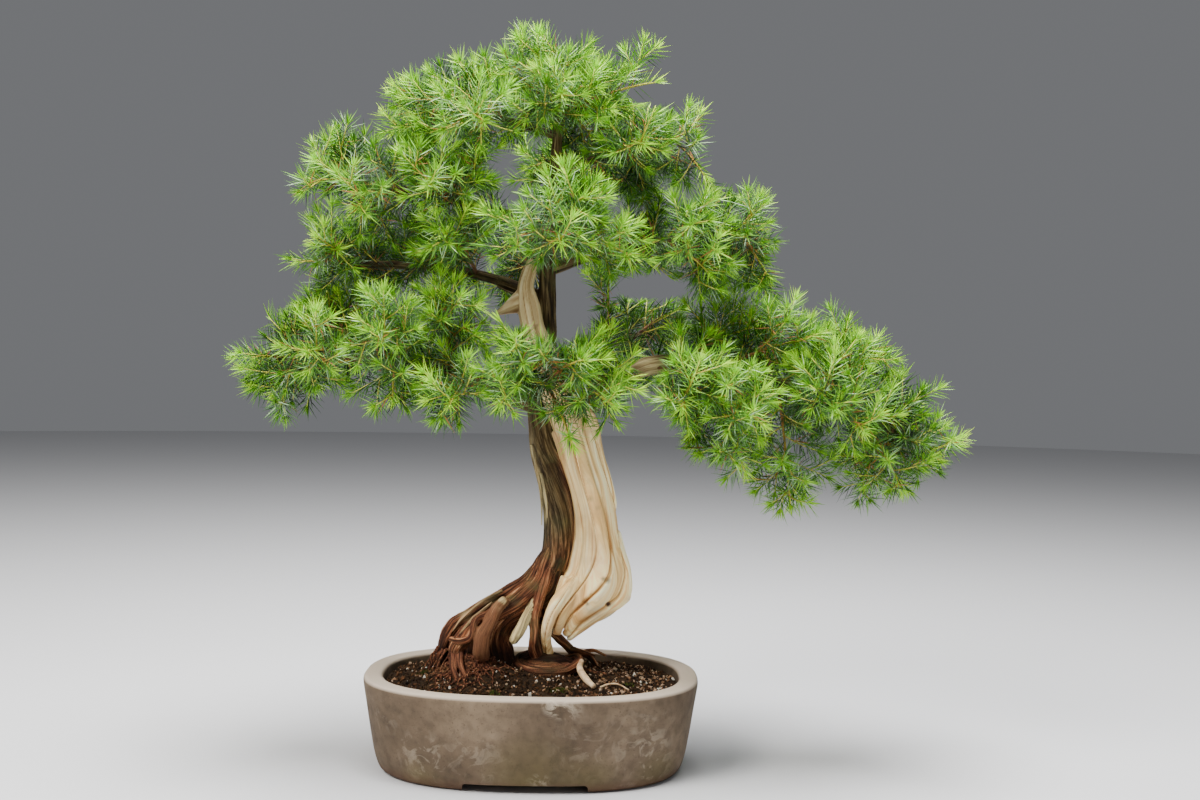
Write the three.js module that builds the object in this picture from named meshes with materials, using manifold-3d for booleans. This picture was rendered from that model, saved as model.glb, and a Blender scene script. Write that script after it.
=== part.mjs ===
// Needle juniper bonsai, bent trunk with a bleached deadwood side, in an unglazed oval pot.
// Millimetres, +Z up. The tree is drawn about the middle of the pot's foot, and at the end
// the whole is moved so that the origin is the middle of its bounding box, at table height.
import * as THREE from "three";
import { mergeVertices } from "three/addons/utils/BufferGeometryUtils.js";
import Module from "manifold-3d";

const wasm = await Module();
wasm.setup();

// Driving dimensions
const POT_LENGTH = 300;
const POT_WIDTH = 228;
const POT_HEIGHT = 82;
const POT_LIP = 17;
const POT_FLOOR = 14;
const POT_CORNER = 2.5;
const FOOT_GAP_LENGTH = 106;
const FOOT_GAP_HEIGHT = 7;
const FOOT_GAP_SLOPE = 7;
const DRAIN_RADIUS = 10;
const DRAIN_SPACING = 60;
const SOIL_EDGE = 73;
const SOIL_HEAPS = [
  { x: -18, y: 8, length: 85, width: 62, rise: 13 },
  { x: -50, y: -8, length: 36, width: 32, rise: 11 },
];
const SOIL_LUMP = 0.7;
const SOIL_WAVES = { fineX: 0.31, fineY: 0.27, broadX: 0.13, broadY: 0.19 };
const SOIL_PLAY = 0.4;
const SEAT_GAP = 0.3;
const NEEDLE_LENGTH = 20;
const NEEDLE_RADIUS = 1;
const NEEDLE_ROOT = 1.8;
const NEEDLE_TILT = 1.1;
const TIP_TILT = 0.6;
const TIP_LENGTH = 11;
const SHOOT_LENGTH = 26;
const SHOOT_RADIUS = 1.5;
const SHOOT_NECK = 0.55;
const SHOOT_TILT = 0.95;
const TWIG_RADIUS = 2;
const STEM_TAPER = 0.45;
const NEEDLE_CLEARANCE = 0.25;

// Shares of a stem's length at which its whorls of needles and its side shoots stand.
const TWIG_WHORLS = [0.5, 0.75, 0.98];
const FORK_WHORLS = [0.62, 0.98];
const SHOOT_WHORLS = [0.5, 0.96];
const SHOOT_PLACES = [0.8, 0.52];
const FORK_PLACE = 0.4;

// The first share of a twig or shoot isn't kept clear, because it lies in what it grows from.
const TWIG_FOOT = 0.25;
const SHOOT_FOOT = 0.15;

// Ways tried, in turn, to keep clear of what stands near: arches as shares of a twig's length,
// rolls of a shoot about its twig, and bends of a needle.
const TWIG_BOWS = [0.12, 0.2, 0.03, -0.07, 0.3, -0.16];
const TRIES = 14;
const ROLL_STEP = 0.45;
const NEEDLE_BENDS = [
  [0, 0],
  [-0.3, 0],
  [0.25, 0],
  [0, 0.4],
  [0, -0.4],
  [-0.45, 0.3],
  [-0.45, -0.3],
];

// Steps between the seeds of sprays, of the two tips of a fork, and of a twig's shoots.
const SEED_STEPS = { first: 2, spray: 7, fork: 3, shoot: 1000 };

const OVAL_SIDES = 32;
const DRAIN_SIDES = 12;
const BRANCH_SIDES = 5;
const SHORT_EDGE = 0.006;
const CUT_PAST = 1;
const CURVE_TENSION = 0.5;
const TAU = 2 * Math.PI;
const GOLDEN_ANGLE = Math.PI * (3 - Math.sqrt(5));
const UP = new THREE.Vector3(0, 0, 1);
const AWAY = new THREE.Vector3(0, 1, 0);

// Finishes, as seen in the photograph
const FINISH = {
  stoneware: { color: 0x7d7268, roughness: 0.85 },
  soil: { color: 0x3a2c22, roughness: 1 },
  bark: { color: 0x5b4030, roughness: 0.9 },
  bleached: { color: 0xcdb690, roughness: 0.75 },
  stick: { color: 0xc9a987, roughness: 0.8 },
  needles: { color: 0x5f8f35, roughness: 0.55 },
};

// A repeatable draw between 0 and 1 for any number.
function draw(number) {
  const spread = Math.sin(number * 12.9898) * 43758.5453;
  return spread - Math.floor(spread);
}

function vector([x, y, z]) {
  return new THREE.Vector3(x, y, z);
}

// Solid from a list of points and a list of triangles that face out.
function solidFromFaces(points, faces) {
  return new wasm.Manifold(
    new wasm.Mesh({
      numProp: 3,
      vertProperties: new Float32Array(points.flatMap((p) => [p.x, p.y, p.z])),
      triVerts: new Uint32Array(faces),
    }),
  );
}

// Solid from a closed three.js geometry.
function solidFromGeometry(geometry) {
  geometry.deleteAttribute("normal");
  geometry.deleteAttribute("uv");
  const merged = mergeVertices(geometry, 1e-4);
  return new wasm.Manifold(
    new wasm.Mesh({
      numProp: 3,
      vertProperties: merged.attributes.position.array,
      triVerts: new Uint32Array(merged.index.array),
    }),
  );
}

// Closed skin over a row of rings with equal numbers of points, each end closed by a fan.
function skinOverRings(rings) {
  const sides = rings[0].length;
  const points = rings.flat();
  const faces = [];
  for (let ring = 0; ring + 1 < rings.length; ring++) {
    for (let side = 0; side < sides; side++) {
      const here = ring * sides + side;
      const next = ring * sides + ((side + 1) % sides);
      faces.push(here, next, next + sides, here, next + sides, here + sides);
    }
  }
  const last = (rings.length - 1) * sides;
  const middles = [rings[0], rings[rings.length - 1]].map((ring) =>
    ring.reduce((sum, p) => sum.add(p), new THREE.Vector3()).divideScalar(sides),
  );
  const firstMiddle = points.push(middles[0]) - 1;
  const lastMiddle = points.push(middles[1]) - 1;
  for (let side = 0; side < sides; side++) {
    const next = (side + 1) % sides;
    faces.push(firstMiddle, next, side);
    faces.push(lastMiddle, last + side, last + next);
  }
  return solidFromFaces(points, faces);
}

// The biggest body of a solid: a scrap that a cut left loose is dropped, a sealed hollow is filled.
function mainBody(solid) {
  const bodies = solid.decompose();
  return bodies.reduce((best, body) => (body.volume() > best.volume() ? body : best));
}

function union(solids) {
  return wasm.Manifold.union(solids);
}

// Wood: a limb is a row of stations [x, y, z, half width, half depth] along a smooth path.
function limbPath(stations) {
  return new THREE.CatmullRomCurve3(stations.map(vector), false, "catmullrom", CURVE_TENSION);
}

function limbSize(stations, place, column) {
  const along = place * (stations.length - 1);
  const low = Math.min(Math.floor(along), stations.length - 2);
  const from = stations[low][column] ?? stations[low][3];
  const to = stations[low + 1][column] ?? stations[low + 1][3];
  return THREE.MathUtils.lerp(from, to, along - low);
}

// Rings of a limb. The first side direction lies across the view, and it is carried along.
function limbSolid(limb, grow = 0) {
  const { stations, sides = 6, rings = stations.length, ridges = 0, depth = 0, twist = 0 } = limb;
  const path = limbPath(stations);
  const loops = [];
  let side = null;
  for (let ring = 0; ring < rings; ring++) {
    const place = ring / (rings - 1);
    const middle = path.getPoint(place);
    const tangent = path.getTangent(place);
    if (side === null) {
      side = AWAY.clone().cross(tangent);
      if (side.length() < 0.5) side = UP.clone().cross(tangent).negate();
    }
    side.addScaledVector(tangent, -side.dot(tangent)).normalize();
    const deep = tangent.clone().cross(side);
    if (ring === 0) middle.addScaledVector(tangent, -grow);
    if (ring === rings - 1) middle.addScaledVector(tangent, grow);
    const width = limbSize(stations, place, 3) + grow;
    const thick = limbSize(stations, place, 4) + grow;
    const loop = [];
    for (let s = 0; s < sides; s++) {
      const angle = (s / sides) * TAU;
      const swell = 1 + depth * Math.cos(ridges * angle + twist * place);
      loop.push(
        middle
          .clone()
          .addScaledVector(side, Math.cos(angle) * width * swell)
          .addScaledVector(deep, Math.sin(angle) * thick * swell),
      );
    }
    loops.push(loop);
  }
  return skinOverRings(loops);
}

// Live wood: the bark-covered side of the trunk, up to the leader.
const trunk = {
  sides: 10,
  rings: 15,
  ridges: 4,
  depth: 0.07,
  twist: 5,
  stations: [
    [4, 15, 158, 12, 17],
    [18, 16, 179, 13, 20],
    [22, 16, 207, 13.5, 22],
    [20, 16, 233, 13.5, 21],
    [13.5, 16, 257, 13.5, 19],
    [6, 18, 280, 13.5, 16],
    [2, 20, 302, 12, 14],
    [2, 22, 330, 11, 12],
    [6, 22, 371, 10, 11],
    [7, 14, 407, 8.5, 9],
    [7, 10, 444, 7.5, 7.5],
    [9, 8, 480, 6.5, 6.5],
    [11, 6, 516, 5.5, 5.5],
    [13, 5, 552, 4.5, 4.5],
    [16, 5, 588, 3.7, 3.7],
    [18, 4, 610, 2.9, 2.9],
  ],
};

// Surface roots. They fan from the trunk's foot and run down into the soil.
const roots = [
  // long root along the left outline
  { sides: 7, rings: 8, stations: [
    [17, 18, 194, 6.5, 9],
    [1, 16, 164, 8, 9],
    [-20, 12, 148, 8, 9],
    [-45, 6, 135, 7.5, 9],
    [-69, 2, 120, 7.5, 8],
    [-80, 0, 103, 7, 8],
    [-84, 0, 72, 6, 8],
  ] },
  // second root in front of it
  { sides: 7, rings: 7, stations: [
    [16, 6, 190, 7, 8],
    [2, 2, 160, 8, 9],
    [-19, -5, 144, 8, 8],
    [-43, -12, 131, 7.5, 8],
    [-61, -16, 114, 7, 8],
    [-68, -18, 93, 6.5, 7],
    [-70, -18, 68, 6, 7],
  ] },
  // smooth root with a cut end
  { sides: 6, stations: [
    [-22, -12, 149, 4.6],
    [-35, -19, 133, 5.4],
    [-43, -23, 116, 5.8],
    [-47, -24, 99, 5.4],
    [-49, -23, 66, 5],
  ] },
  // broad dark root under the middle
  { sides: 8, rings: 7, stations: [
    [20, 12, 180, 10, 12],
    [11, 10, 156, 12, 14],
    [-5, 7, 141, 11, 14],
    [-23, 5, 130, 10.5, 14],
    [-35, 2, 112, 11.5, 15],
    [-38, 0, 94, 13, 16],
    [-38, 0, 68, 14, 17],
  ] },
  // reddish strand beside the pale one
  { sides: 5, stations: [
    [15, 3, 176, 5, 7],
    [10, -3, 159, 5, 6],
    [5, -8, 142, 4.8],
    [0, -12, 119, 4.4],
    [-1, -13, 98, 4.4],
    [-1, -11, 68, 4.4],
  ] },
  // hidden root behind the strands
  { sides: 6, stations: [
    [12, 16, 172, 8, 10],
    [7, 26, 138, 6.5, 8],
    [7, 30, 108, 6, 7],
    [4, 33, 66, 6, 7],
  ] },
  // short stub with its bark gone
  { sides: 5, stations: [
    [3, -3, 148, 4],
    [-6, -13, 131, 5],
    [-15, -16, 113, 3.8],
  ] },
  // thin root that loops in front of the left roots
  { sides: 4, stations: [
    [-38, -16, 137, 2.8],
    [-50, -25, 133, 3.1],
    [-52, -29, 120, 2.9],
    [-62, -26, 114, 2.7],
    [-72, -15, 112, 2.6],
  ] },
  // small root that runs forward over the soil
  { sides: 4, stations: [
    [-66, -16, 98, 3],
    [-66, -32, 87, 2.8],
    [-61, -48, 72, 2.4],
  ] },
  // dark root that trails off to the right behind the pale wood
  { sides: 4, stations: [
    [6, 22, 122, 3.4],
    [26, 34, 103, 3.2],
    [36, 42, 91, 3],
    [50, 46, 87, 2.5],
    [62, 48, 70, 2],
  ] },
];

// Two roots coiled on the soil at the foot of the strands: each is part of a turn about the same
// middle, it thins on its way, and its end dips in. The inner one ends short of the pale strand.
const ROOT_COILS = [
  { size: 33, height: 86, foot: 5.7, thinning: 0.5, radius: 3.2, steps: 9, start: -0.62, turn: 0.8 },
  { size: 26, height: 86, foot: 4.2, thinning: 0.4, radius: 2.6, steps: 4, start: -0.6, turn: 0.25 },
];
const COIL_MIDDLE = { x: 19, y: 16 };
const COIL_DIP = 6;
for (const { size, height, foot, thinning, radius, steps, start, turn } of ROOT_COILS) {
  const stations = [];
  for (let step = 0; step <= steps; step++) {
    const angle = (start + (step / steps) * turn) * TAU;
    stations.push([
      COIL_MIDDLE.x + size * Math.cos(angle),
      COIL_MIDDLE.y + size * Math.sin(angle),
      height - COIL_DIP * Math.max(step + 2 - steps, 0),
      Math.max(foot - thinning * step, radius),
    ]);
  }
  roots.push({ sides: 5, stations });
}

// Branches, named by where they go.
const limbs = {
  right: [
    [2, 26, 318, 11],
    [34, 33, 322, 11.5],
    [68, 12, 340, 10.5],
    [99, -5, 360, 9],
    [146, -10, 363, 7.2],
    [200, -10, 352, 5.8],
    [255, -5, 335, 4.6],
    [305, 0, 313, 3.6],
    [330, 0, 300, 2.7],
  ],
  lowLeft: [
    [4, 20, 321, 8],
    [-33, -6, 336, 7],
    [-86, -20, 353, 6],
    [-139, -20, 361, 5],
    [-194, -10, 362, 3.8],
    [-220, -2, 359, 2.7],
  ],
  front: [
    [2, 20, 344, 6],
    [-17, 2, 349, 5.4],
    [-12, -32, 353, 4.6],
    [4, -70, 351, 3.6],
    [13, -100, 345, 2.7],
  ],
  midLeft: [
    [7, 14, 418, 6],
    [-37, 26, 436, 5],
    [-93, 30, 447, 4.2],
    [-157, 28, 449, 3.4],
    [-188, 22, 449, 2.6],
  ],
  highLeft: [
    [9, 8, 484, 5],
    [-36, 0, 496, 4.2],
    [-99, -10, 509, 3.4],
    [-162, -10, 520, 2.6],
  ],
  frontMid: [
    [9, 8, 462, 4.6],
    [11, -55, 467, 3.7],
    [15, -105, 470, 2.6],
  ],
  midRight: [
    [8, 10, 446, 6],
    [63, 8, 465, 4.8],
    [117, 0, 474, 3.7],
    [166, 0, 478, 2.6],
  ],
  highRight: [
    [13, 6, 539, 4.2],
    [62, 0, 548, 3.4],
    [111, 0, 557, 2.6],
  ],
  topLeft: [
    [14, 5, 566, 3.8],
    [-29, 0, 578, 3.2],
    [-79, 0, 588, 2.6],
  ],
  backRight: [
    [5, 20, 372, 5.5],
    [46, 70, 370, 4.2],
    [95, 115, 392, 2.7],
  ],
  back: [
    [8, 12, 436, 5],
    [-7, 70, 452, 3.8],
    [-24, 115, 460, 2.7],
  ],
  backHigh: [
    [11, 6, 525, 4],
    [20, 60, 540, 3.3],
    [28, 100, 552, 2.6],
  ],
};

// Deadwood: the bleached flare that hangs over the soil, and the column it runs up into.
const deadwoodLimbs = [
  // flare and lower column
  { sides: 14, rings: 12, ridges: 4, depth: 0.09, twist: 1.5, stations: [
    [35, 8, 303, 20, 19],
    [42, 10, 274, 19.5, 22],
    [48.5, 11, 252, 19, 24],
    [52.5, 12, 230, 18.5, 25],
    [54.5, 12, 208, 18.5, 26],
    [56, 12, 187, 23.5, 27],
    [57, 12, 167, 29.5, 26],
    [50, 12, 148, 26, 24],
    [40, 10, 132, 15, 18],
    [33, 8, 119, 5, 8],
  ] },
  // thick lower rim of the flare, from its right edge back down to the left
  { sides: 7, stations: [
    [69, 11, 192, 10, 15],
    [76, 11, 171, 11, 15],
    [78, 11, 152, 9, 13],
    [62, 10, 139, 7.5, 12],
    [44, 9, 125, 6.5, 10],
    [31, 8, 113, 4, 6],
  ] },
  // web between the flare and its strand
  { sides: 6, stations: [
    [35, 3, 166, 11, 12],
    [28, 1, 145, 9, 11],
    [24, 0, 129, 7, 8],
    [23, 0, 117, 3, 4],
  ] },
  // upper column, leaning over the live wood to the left
  { sides: 10, rings: 8, ridges: 3, depth: 0.08, twist: 1, stations: [
    [37, 8, 290, 19, 17],
    [34, 6, 304, 19.5, 17],
    [21, 2, 332, 17, 14],
    [7, -2, 362, 13.5, 11],
    [-4, -3, 389, 10, 9],
    [-9, -3, 411, 10, 8.5],
    [-12, -3, 429, 6.8, 6.5],
    [-9, -3, 443, 6, 6],
    [-6, -3, 454, 3.2, 3.2],
  ] },
  // broken branch stub on the left of the column
  { sides: 6, stations: [
    [-5, -3, 418, 8, 6],
    [-22, -5, 414, 6, 5],
    [-36, -8, 408, 2.4, 2.4],
  ] },
  // pale strand from the flare down into the soil
  { sides: 6, rings: 7, stations: [
    [38, -2, 168, 6, 7],
    [30, -5, 158, 6, 7],
    [20, -9, 144, 6, 6.5],
    [14, -13, 127, 5.4, 5.6],
    [13, -13, 108, 5, 5],
    [17, -10, 68, 5, 5],
  ] },
];

function liveLimbs() {
  const branches = Object.values(limbs).map((stations) => ({
    stations,
    sides: BRANCH_SIDES,
  }));
  return [trunk, ...roots, ...branches];
}

function woodSolid(list, grow = 0) {
  return union(list.map((limb) => limbSolid(limb, grow)));
}

// Pot: an oval whose plan is a rounded rectangle between an ellipse and a box.
function ovalRing(halfLength, halfWidth, height) {
  const ring = [];
  for (let side = 0; side < OVAL_SIDES; side++) {
    const angle = (side / OVAL_SIDES) * TAU;
    const cos = Math.cos(angle);
    const sin = Math.sin(angle);
    const x = halfLength * Math.sign(cos) * Math.abs(cos) ** (2 / POT_CORNER);
    const y = halfWidth * Math.sign(sin) * Math.abs(sin) ** (2 / POT_CORNER);
    ring.push(new THREE.Vector3(x, y, height));
  }
  return ring;
}

// Profile rows: [inset from the rim's outline, height].
const potOutside = [
  [18.5, 0],
  [14, 3.5],
  [11, 12],
  [8, 27],
  [3, 58],
  [0.6, 73],
  [0, 78.5],
  [1.6, POT_HEIGHT],
];
const potInside = [
  [POT_LIP - 1, POT_HEIGHT],
  [POT_LIP + 0.5, 80.5],
  [POT_LIP + 2, 60],
  [POT_LIP + 9, 24],
  [POT_LIP + 16, POT_FLOOR],
];

function potRing([inset, height], extra = 0) {
  return ovalRing(POT_LENGTH / 2 - inset - extra, POT_WIDTH / 2 - inset - extra, height);
}

function footGapSolid() {
  const half = FOOT_GAP_LENGTH / 2;
  const outline = new THREE.Shape([
    new THREE.Vector2(-half, -CUT_PAST),
    new THREE.Vector2(half, -CUT_PAST),
    new THREE.Vector2(half - FOOT_GAP_SLOPE, FOOT_GAP_HEIGHT),
    new THREE.Vector2(-half + FOOT_GAP_SLOPE, FOOT_GAP_HEIGHT),
  ]);
  const bar = new THREE.ExtrudeGeometry(outline, { depth: 2 * POT_WIDTH, bevelEnabled: false });
  bar.rotateX(Math.PI / 2);
  bar.translate(0, POT_WIDTH, 0);
  return solidFromGeometry(bar);
}

function drainSolid(x) {
  const hole = new THREE.CylinderGeometry(DRAIN_RADIUS, DRAIN_RADIUS, 3 * POT_FLOOR, DRAIN_SIDES);
  hole.rotateX(Math.PI / 2);
  hole.translate(x, 0, POT_FLOOR);
  return solidFromGeometry(hole);
}

function potSolid() {
  const rings = [...potOutside, ...potInside].map((row) => potRing(row));
  return skinOverRings(rings)
    .subtract(footGapSolid())
    .subtract(drainSolid(-DRAIN_SPACING / 2))
    .subtract(drainSolid(DRAIN_SPACING / 2));
}

// Soil: fills the pot below its rim, heaped round the roots and lumpy.
const SOIL_RINGS = [1, 0.78, 0.52, 0.25];

function soilHeight(x, y) {
  const { fineX, fineY, broadX, broadY } = SOIL_WAVES;
  const lumps = Math.sin(x * fineX + 1) * Math.cos(y * fineY) + Math.sin(x * broadX - y * broadY);
  const heaped = SOIL_HEAPS.reduce((sum, heap) => {
    const away = Math.hypot((x - heap.x) / heap.length, (y - heap.y) / heap.width);
    return sum + heap.rise * Math.exp(-away * away);
  }, 0);
  return SOIL_EDGE + heaped + SOIL_LUMP * lumps;
}

function soilSolid() {
  const walls = potInside
    .slice(2)
    .reverse()
    .map(([inset, height]) => potRing([inset, Math.max(height, POT_FLOOR + SEAT_GAP)], SOIL_PLAY));
  const inset = POT_LIP + 4 * SOIL_PLAY;
  const surface = SOIL_RINGS.map((share) =>
    ovalRing((POT_LENGTH / 2 - inset) * share, (POT_WIDTH / 2 - inset) * share, 0),
  );
  for (const ring of surface) {
    for (const point of ring) point.z = soilHeight(point.x, point.y);
  }
  return skinOverRings([...walls, ...surface]);
}

// A broken stick that leans on the coiled roots, with its foot in the soil.
const brokenStick = { sides: 6, stations: [
  [45, -3, 92.6, 2.2],
  [43.5, -15, 88.4, 3],
  [49, -29, 82.5, 3.2],
  [56.5, -43, 78.5, 2.2],
] };

// Foliage. Each spray leaves a branch at a share of its length and ends at a tip; a row with
// two tips forks. Tips were placed by eye on the outline and through the depth of the crown.
const sprays = [
  ["right", 0.97, [374, 0, 275]],
  ["right", 0.86, [352, 22, 335], [330, 45, 300]],
  ["right", 0.72, [312, -12, 380]],
  ["right", 0.55, [250, -30, 390]],
  ["right", 0.84, [332, -22, 245], [298, 26, 246]],
  ["right", 0.66, [228, -32, 229]],
  ["right", 0.5, [186, -72, 262], [128, -52, 296]],
  ["right", 0.38, [200, -112, 310], [122, -112, 322]],
  ["right", 0.76, [285, -85, 305], [236, -78, 348]],
  ["right", 0.46, [208, 58, 402], [148, 55, 392]],
  ["right", 0.7, [300, 90, 358], [255, 75, 303]],
  ["right", 0.52, [220, 108, 326]],
  ["lowLeft", 0.97, [-262, 2, 362], [-230, 14, 396]],
  ["lowLeft", 0.86, [-240, -22, 322], [-200, 40, 334]],
  ["lowLeft", 0.74, [-195, -85, 368]],
  ["lowLeft", 0.52, [-130, -110, 390], [-120, -72, 318]],
  ["lowLeft", 0.3, [-70, -105, 322]],
  ["lowLeft", 0.66, [-205, 95, 393], [-214, 55, 424]],
  ["lowLeft", 0.42, [-112, 95, 345]],
  ["lowLeft", 0.36, [-80, -58, 428], [-55, -62, 396]],
  ["front", 0.7, [-27, -140, 324]],
  ["front", 0.86, [40, -112, 284]],
  ["front", 0.6, [76, -128, 325], [88, -62, 360]],
  ["front", 0.97, [50, -150, 368], [-26, -150, 374]],
  ["midLeft", 0.97, [-232, 20, 449], [-172, -32, 460]],
  ["midLeft", 0.72, [-190, 85, 450], [-150, 60, 478]],
  ["midLeft", 0.5, [-115, 110, 470], [-158, 72, 428]],
  ["midLeft", 0.35, [-80, -80, 474]],
  ["highLeft", 0.97, [-213, -10, 520], [-170, 22, 545]],
  ["highLeft", 0.76, [-165, -58, 490]],
  ["highLeft", 0.52, [-95, -95, 510], [-42, -62, 528]],
  ["highLeft", 0.56, [-135, 80, 545]],
  ["frontMid", 0.9, [25, -155, 455], [-26, -140, 460]],
  ["frontMid", 0.7, [46, -130, 503]],
  ["frontMid", 0.5, [90, -110, 450]],
  ["midRight", 0.97, [208, 0, 488], [210, -30, 432]],
  ["midRight", 0.62, [155, -65, 436], [140, -66, 493]],
  ["midRight", 0.74, [180, 75, 480], [176, 45, 430]],
  ["midRight", 0.42, [112, 90, 458]],
  ["highRight", 0.97, [144, 0, 578], [152, -30, 520]],
  ["highRight", 0.55, [95, -75, 550]],
  ["highRight", 0.6, [100, 85, 550], [102, 55, 512]],
  ["topLeft", 0.97, [-126, 0, 580]],
  ["topLeft", 0.7, [-88, -62, 556], [-42, -95, 560]],
  ["topLeft", 0.6, [-74, 60, 622], [-152, 62, 572]],
  ["trunk", 0.98, [15, 0, 649], [55, 20, 622]],
  ["trunk", 0.95, [-42, 0, 627], [-14, -50, 566]],
  ["trunk", 0.92, [112, -6, 618]],
  ["trunk", 0.9, [20, -75, 595], [70, -60, 580]],
  ["trunk", 0.93, [10, 65, 618], [50, 50, 568]],
  ["backRight", 0.97, [145, 135, 424], [95, 150, 386]],
  ["backRight", 0.7, [62, 150, 462]],
  ["back", 0.9, [-45, 140, 430], [15, 155, 480]],
  ["backHigh", 0.9, [75, 125, 540], [-25, 130, 550]],
];

// Room already taken by wood, twigs, shoots and needles, as rods with round ends.
const rods = [];

function addRod(from, to, radius, owner) {
  rods.push({ from, to, radius, owner });
}

// Least distance between two straight rods.
function rodDistance(a0, a1, b0, b1) {
  const u = a1.clone().sub(a0);
  const v = b1.clone().sub(b0);
  const w = a0.clone().sub(b0);
  const uu = u.dot(u);
  const uv = u.dot(v);
  const vv = v.dot(v);
  const uw = u.dot(w);
  const vw = v.dot(w);
  const spread = uu * vv - uv * uv;
  const clamp = (value) => THREE.MathUtils.clamp(value, 0, 1);
  let s = spread > 1e-9 ? clamp((uv * vw - vv * uw) / spread) : 0;
  const t = clamp((uv * s + vw) / vv);
  s = clamp((uv * t - uw) / uu);
  return w.addScaledVector(u, s).addScaledVector(v, -t).length();
}

function isClear(from, to, radius, owner) {
  return rods.every(
    (rod) =>
      rod.owner === owner ||
      rodDistance(from, to, rod.from, rod.to) > radius + rod.radius + NEEDLE_CLEARANCE,
  );
}

// A path as a few straight rods.
function addPathRods(path, pieces, radiusAt, owner) {
  for (let piece = 0; piece < pieces; piece++) {
    const from = path.getPoint(piece / pieces);
    const to = path.getPoint((piece + 1) / pieces);
    addRod(from, to, radiusAt((piece + 0.5) / pieces), owner);
  }
}

function addLimbRods(stations, owner) {
  const radiusAt = (place) => Math.max(limbSize(stations, place, 3), limbSize(stations, place, 4));
  addPathRods(limbPath(stations), 2 * stations.length, radiusAt, owner);
}

function addWoodRods() {
  addLimbRods(trunk.stations, "trunk");
  for (const [name, stations] of Object.entries(limbs)) addLimbRods(stations, name);
  for (const limb of deadwoodLimbs) addLimbRods(limb.stations, "deadwood");
}

// A direction that leans off an axis by a tilt, turned about it by a roll.
function leaning(axis, tilt, roll) {
  const reference = Math.abs(axis.z) < 0.85 ? UP : AWAY;
  const side = axis.clone().cross(reference).normalize();
  const top = side.clone().cross(axis);
  return axis
    .clone()
    .multiplyScalar(Math.cos(tilt))
    .addScaledVector(side, Math.sin(tilt) * Math.cos(roll))
    .addScaledVector(top, -Math.sin(tilt) * Math.sin(roll));
}

// A twig arches a little on its way from the branch to its tip.
function twigPath(from, tip, bow) {
  const middle = from.clone().lerp(tip, 0.5);
  middle.z += bow * from.distanceTo(tip);
  return new THREE.QuadraticBezierCurve3(from, middle, tip);
}

// Where a spray's limb is left: a point on the limb's own middle line.
function limbPoint(name, place) {
  const stations = name === "trunk" ? trunk.stations : limbs[name];
  return limbPath(stations).getPoint(place);
}

// First pass: all twigs. A twig that would meet another one arches more, or sags.
function growTwigs() {
  return sprays.map(([name, place, ...tips], index) => {
    const owner = `spray${index}`;
    const stems = [];
    tips.forEach((tip, fork) => {
      const from = fork ? stems[0].path.getPoint(FORK_PLACE) : limbPoint(name, place);
      const foot = fork ? 0 : TWIG_FOOT;
      const isFree = (path) =>
        [0, 1, 2].every((piece) => {
          const start = path.getPoint(Math.max(piece / 3, foot));
          const end = path.getPoint((piece + 1) / 3);
          return isClear(start, end, TWIG_RADIUS + 1, owner);
        });
      const paths = TWIG_BOWS.map((bow) => twigPath(from, vector(tip), bow));
      const path = paths.find(isFree) ?? paths[0];
      addPathRods(path, 3, () => TWIG_RADIUS, owner);
      const seed = SEED_STEPS.first + index * SEED_STEPS.spray + fork * SEED_STEPS.fork;
      const places = fork ? FORK_WHORLS : TWIG_WHORLS;
      stems.push({ path, places, radius: TWIG_RADIUS, seed, tipLength: TIP_LENGTH });
    });
    return { name, owner, forks: tips.length, stems };
  });
}

// Second pass: side shoots, spread all round their twig. A fork stands in for the lower one.
function growShoots(bunches) {
  SHOOT_PLACES.forEach((place, step) => {
    for (const bunch of bunches) {
      if (step > 0 && bunch.forks > 1) continue;
      for (const twig of bunch.stems.slice(0, bunch.forks)) {
        const from = twig.path.getPoint(place);
        const axis = twig.path.getTangent(place);
        for (let attempt = 0; attempt < TRIES; attempt++) {
          const roll = draw(twig.seed) * TAU + step * GOLDEN_ANGLE + attempt * ROLL_STEP;
          const to = from.clone().addScaledVector(leaning(axis, SHOOT_TILT, roll), SHOOT_LENGTH);
          if (!isClear(from.clone().lerp(to, SHOOT_FOOT), to, SHOOT_RADIUS, bunch.owner)) continue;
          addRod(from, to, SHOOT_RADIUS, bunch.owner);
          bunch.stems.push({
            path: new THREE.LineCurve3(from, to),
            places: SHOOT_WHORLS,
            radius: SHOOT_RADIUS,
            neck: SHOOT_NECK,
            seed: twig.seed + SEED_STEPS.shoot * (step + 1),
            tipLength: TIP_LENGTH,
          });
          break;
        }
      }
    }
  });
}

// Third pass: whorls of three needles, turned by a sixth from one whorl to the next. A needle
// that would cross another spray is bent clear, and left out where there is no room.
function growNeedles(bunches) {
  const rounds = Math.max(TWIG_WHORLS.length, SHOOT_WHORLS.length);
  for (let back = 1; back <= rounds; back++) {
    for (const bunch of bunches) {
      for (const stem of bunch.stems) {
        const number = stem.places.length - back;
        if (number < 0) continue;
        const place = stem.places[number];
        const middle = stem.path.getPoint(place);
        const axis = stem.path.getTangent(place);
        const roll = draw(stem.seed) * TAU + number * (TAU / 6);
        const tilt = back === 1 ? TIP_TILT : NEEDLE_TILT;
        const apexes = [0, 1, 2].map((face) => {
          const faceRoll = roll + ((face + 0.5) * TAU) / 3;
          for (const [lean, turn] of NEEDLE_BENDS) {
            const way = leaning(axis, tilt + lean, faceRoll + turn);
            const apex = middle.clone().addScaledVector(way, NEEDLE_LENGTH);
            if (!isClear(middle, apex, NEEDLE_RADIUS, bunch.owner)) continue;
            addRod(middle, apex, NEEDLE_RADIUS, bunch.owner);
            return apex;
          }
          return null;
        });
        stem.whorls = stem.whorls ?? [];
        stem.whorls[number] = { middle, axis, roll, apexes };
      }
    }
  }
}

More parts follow.
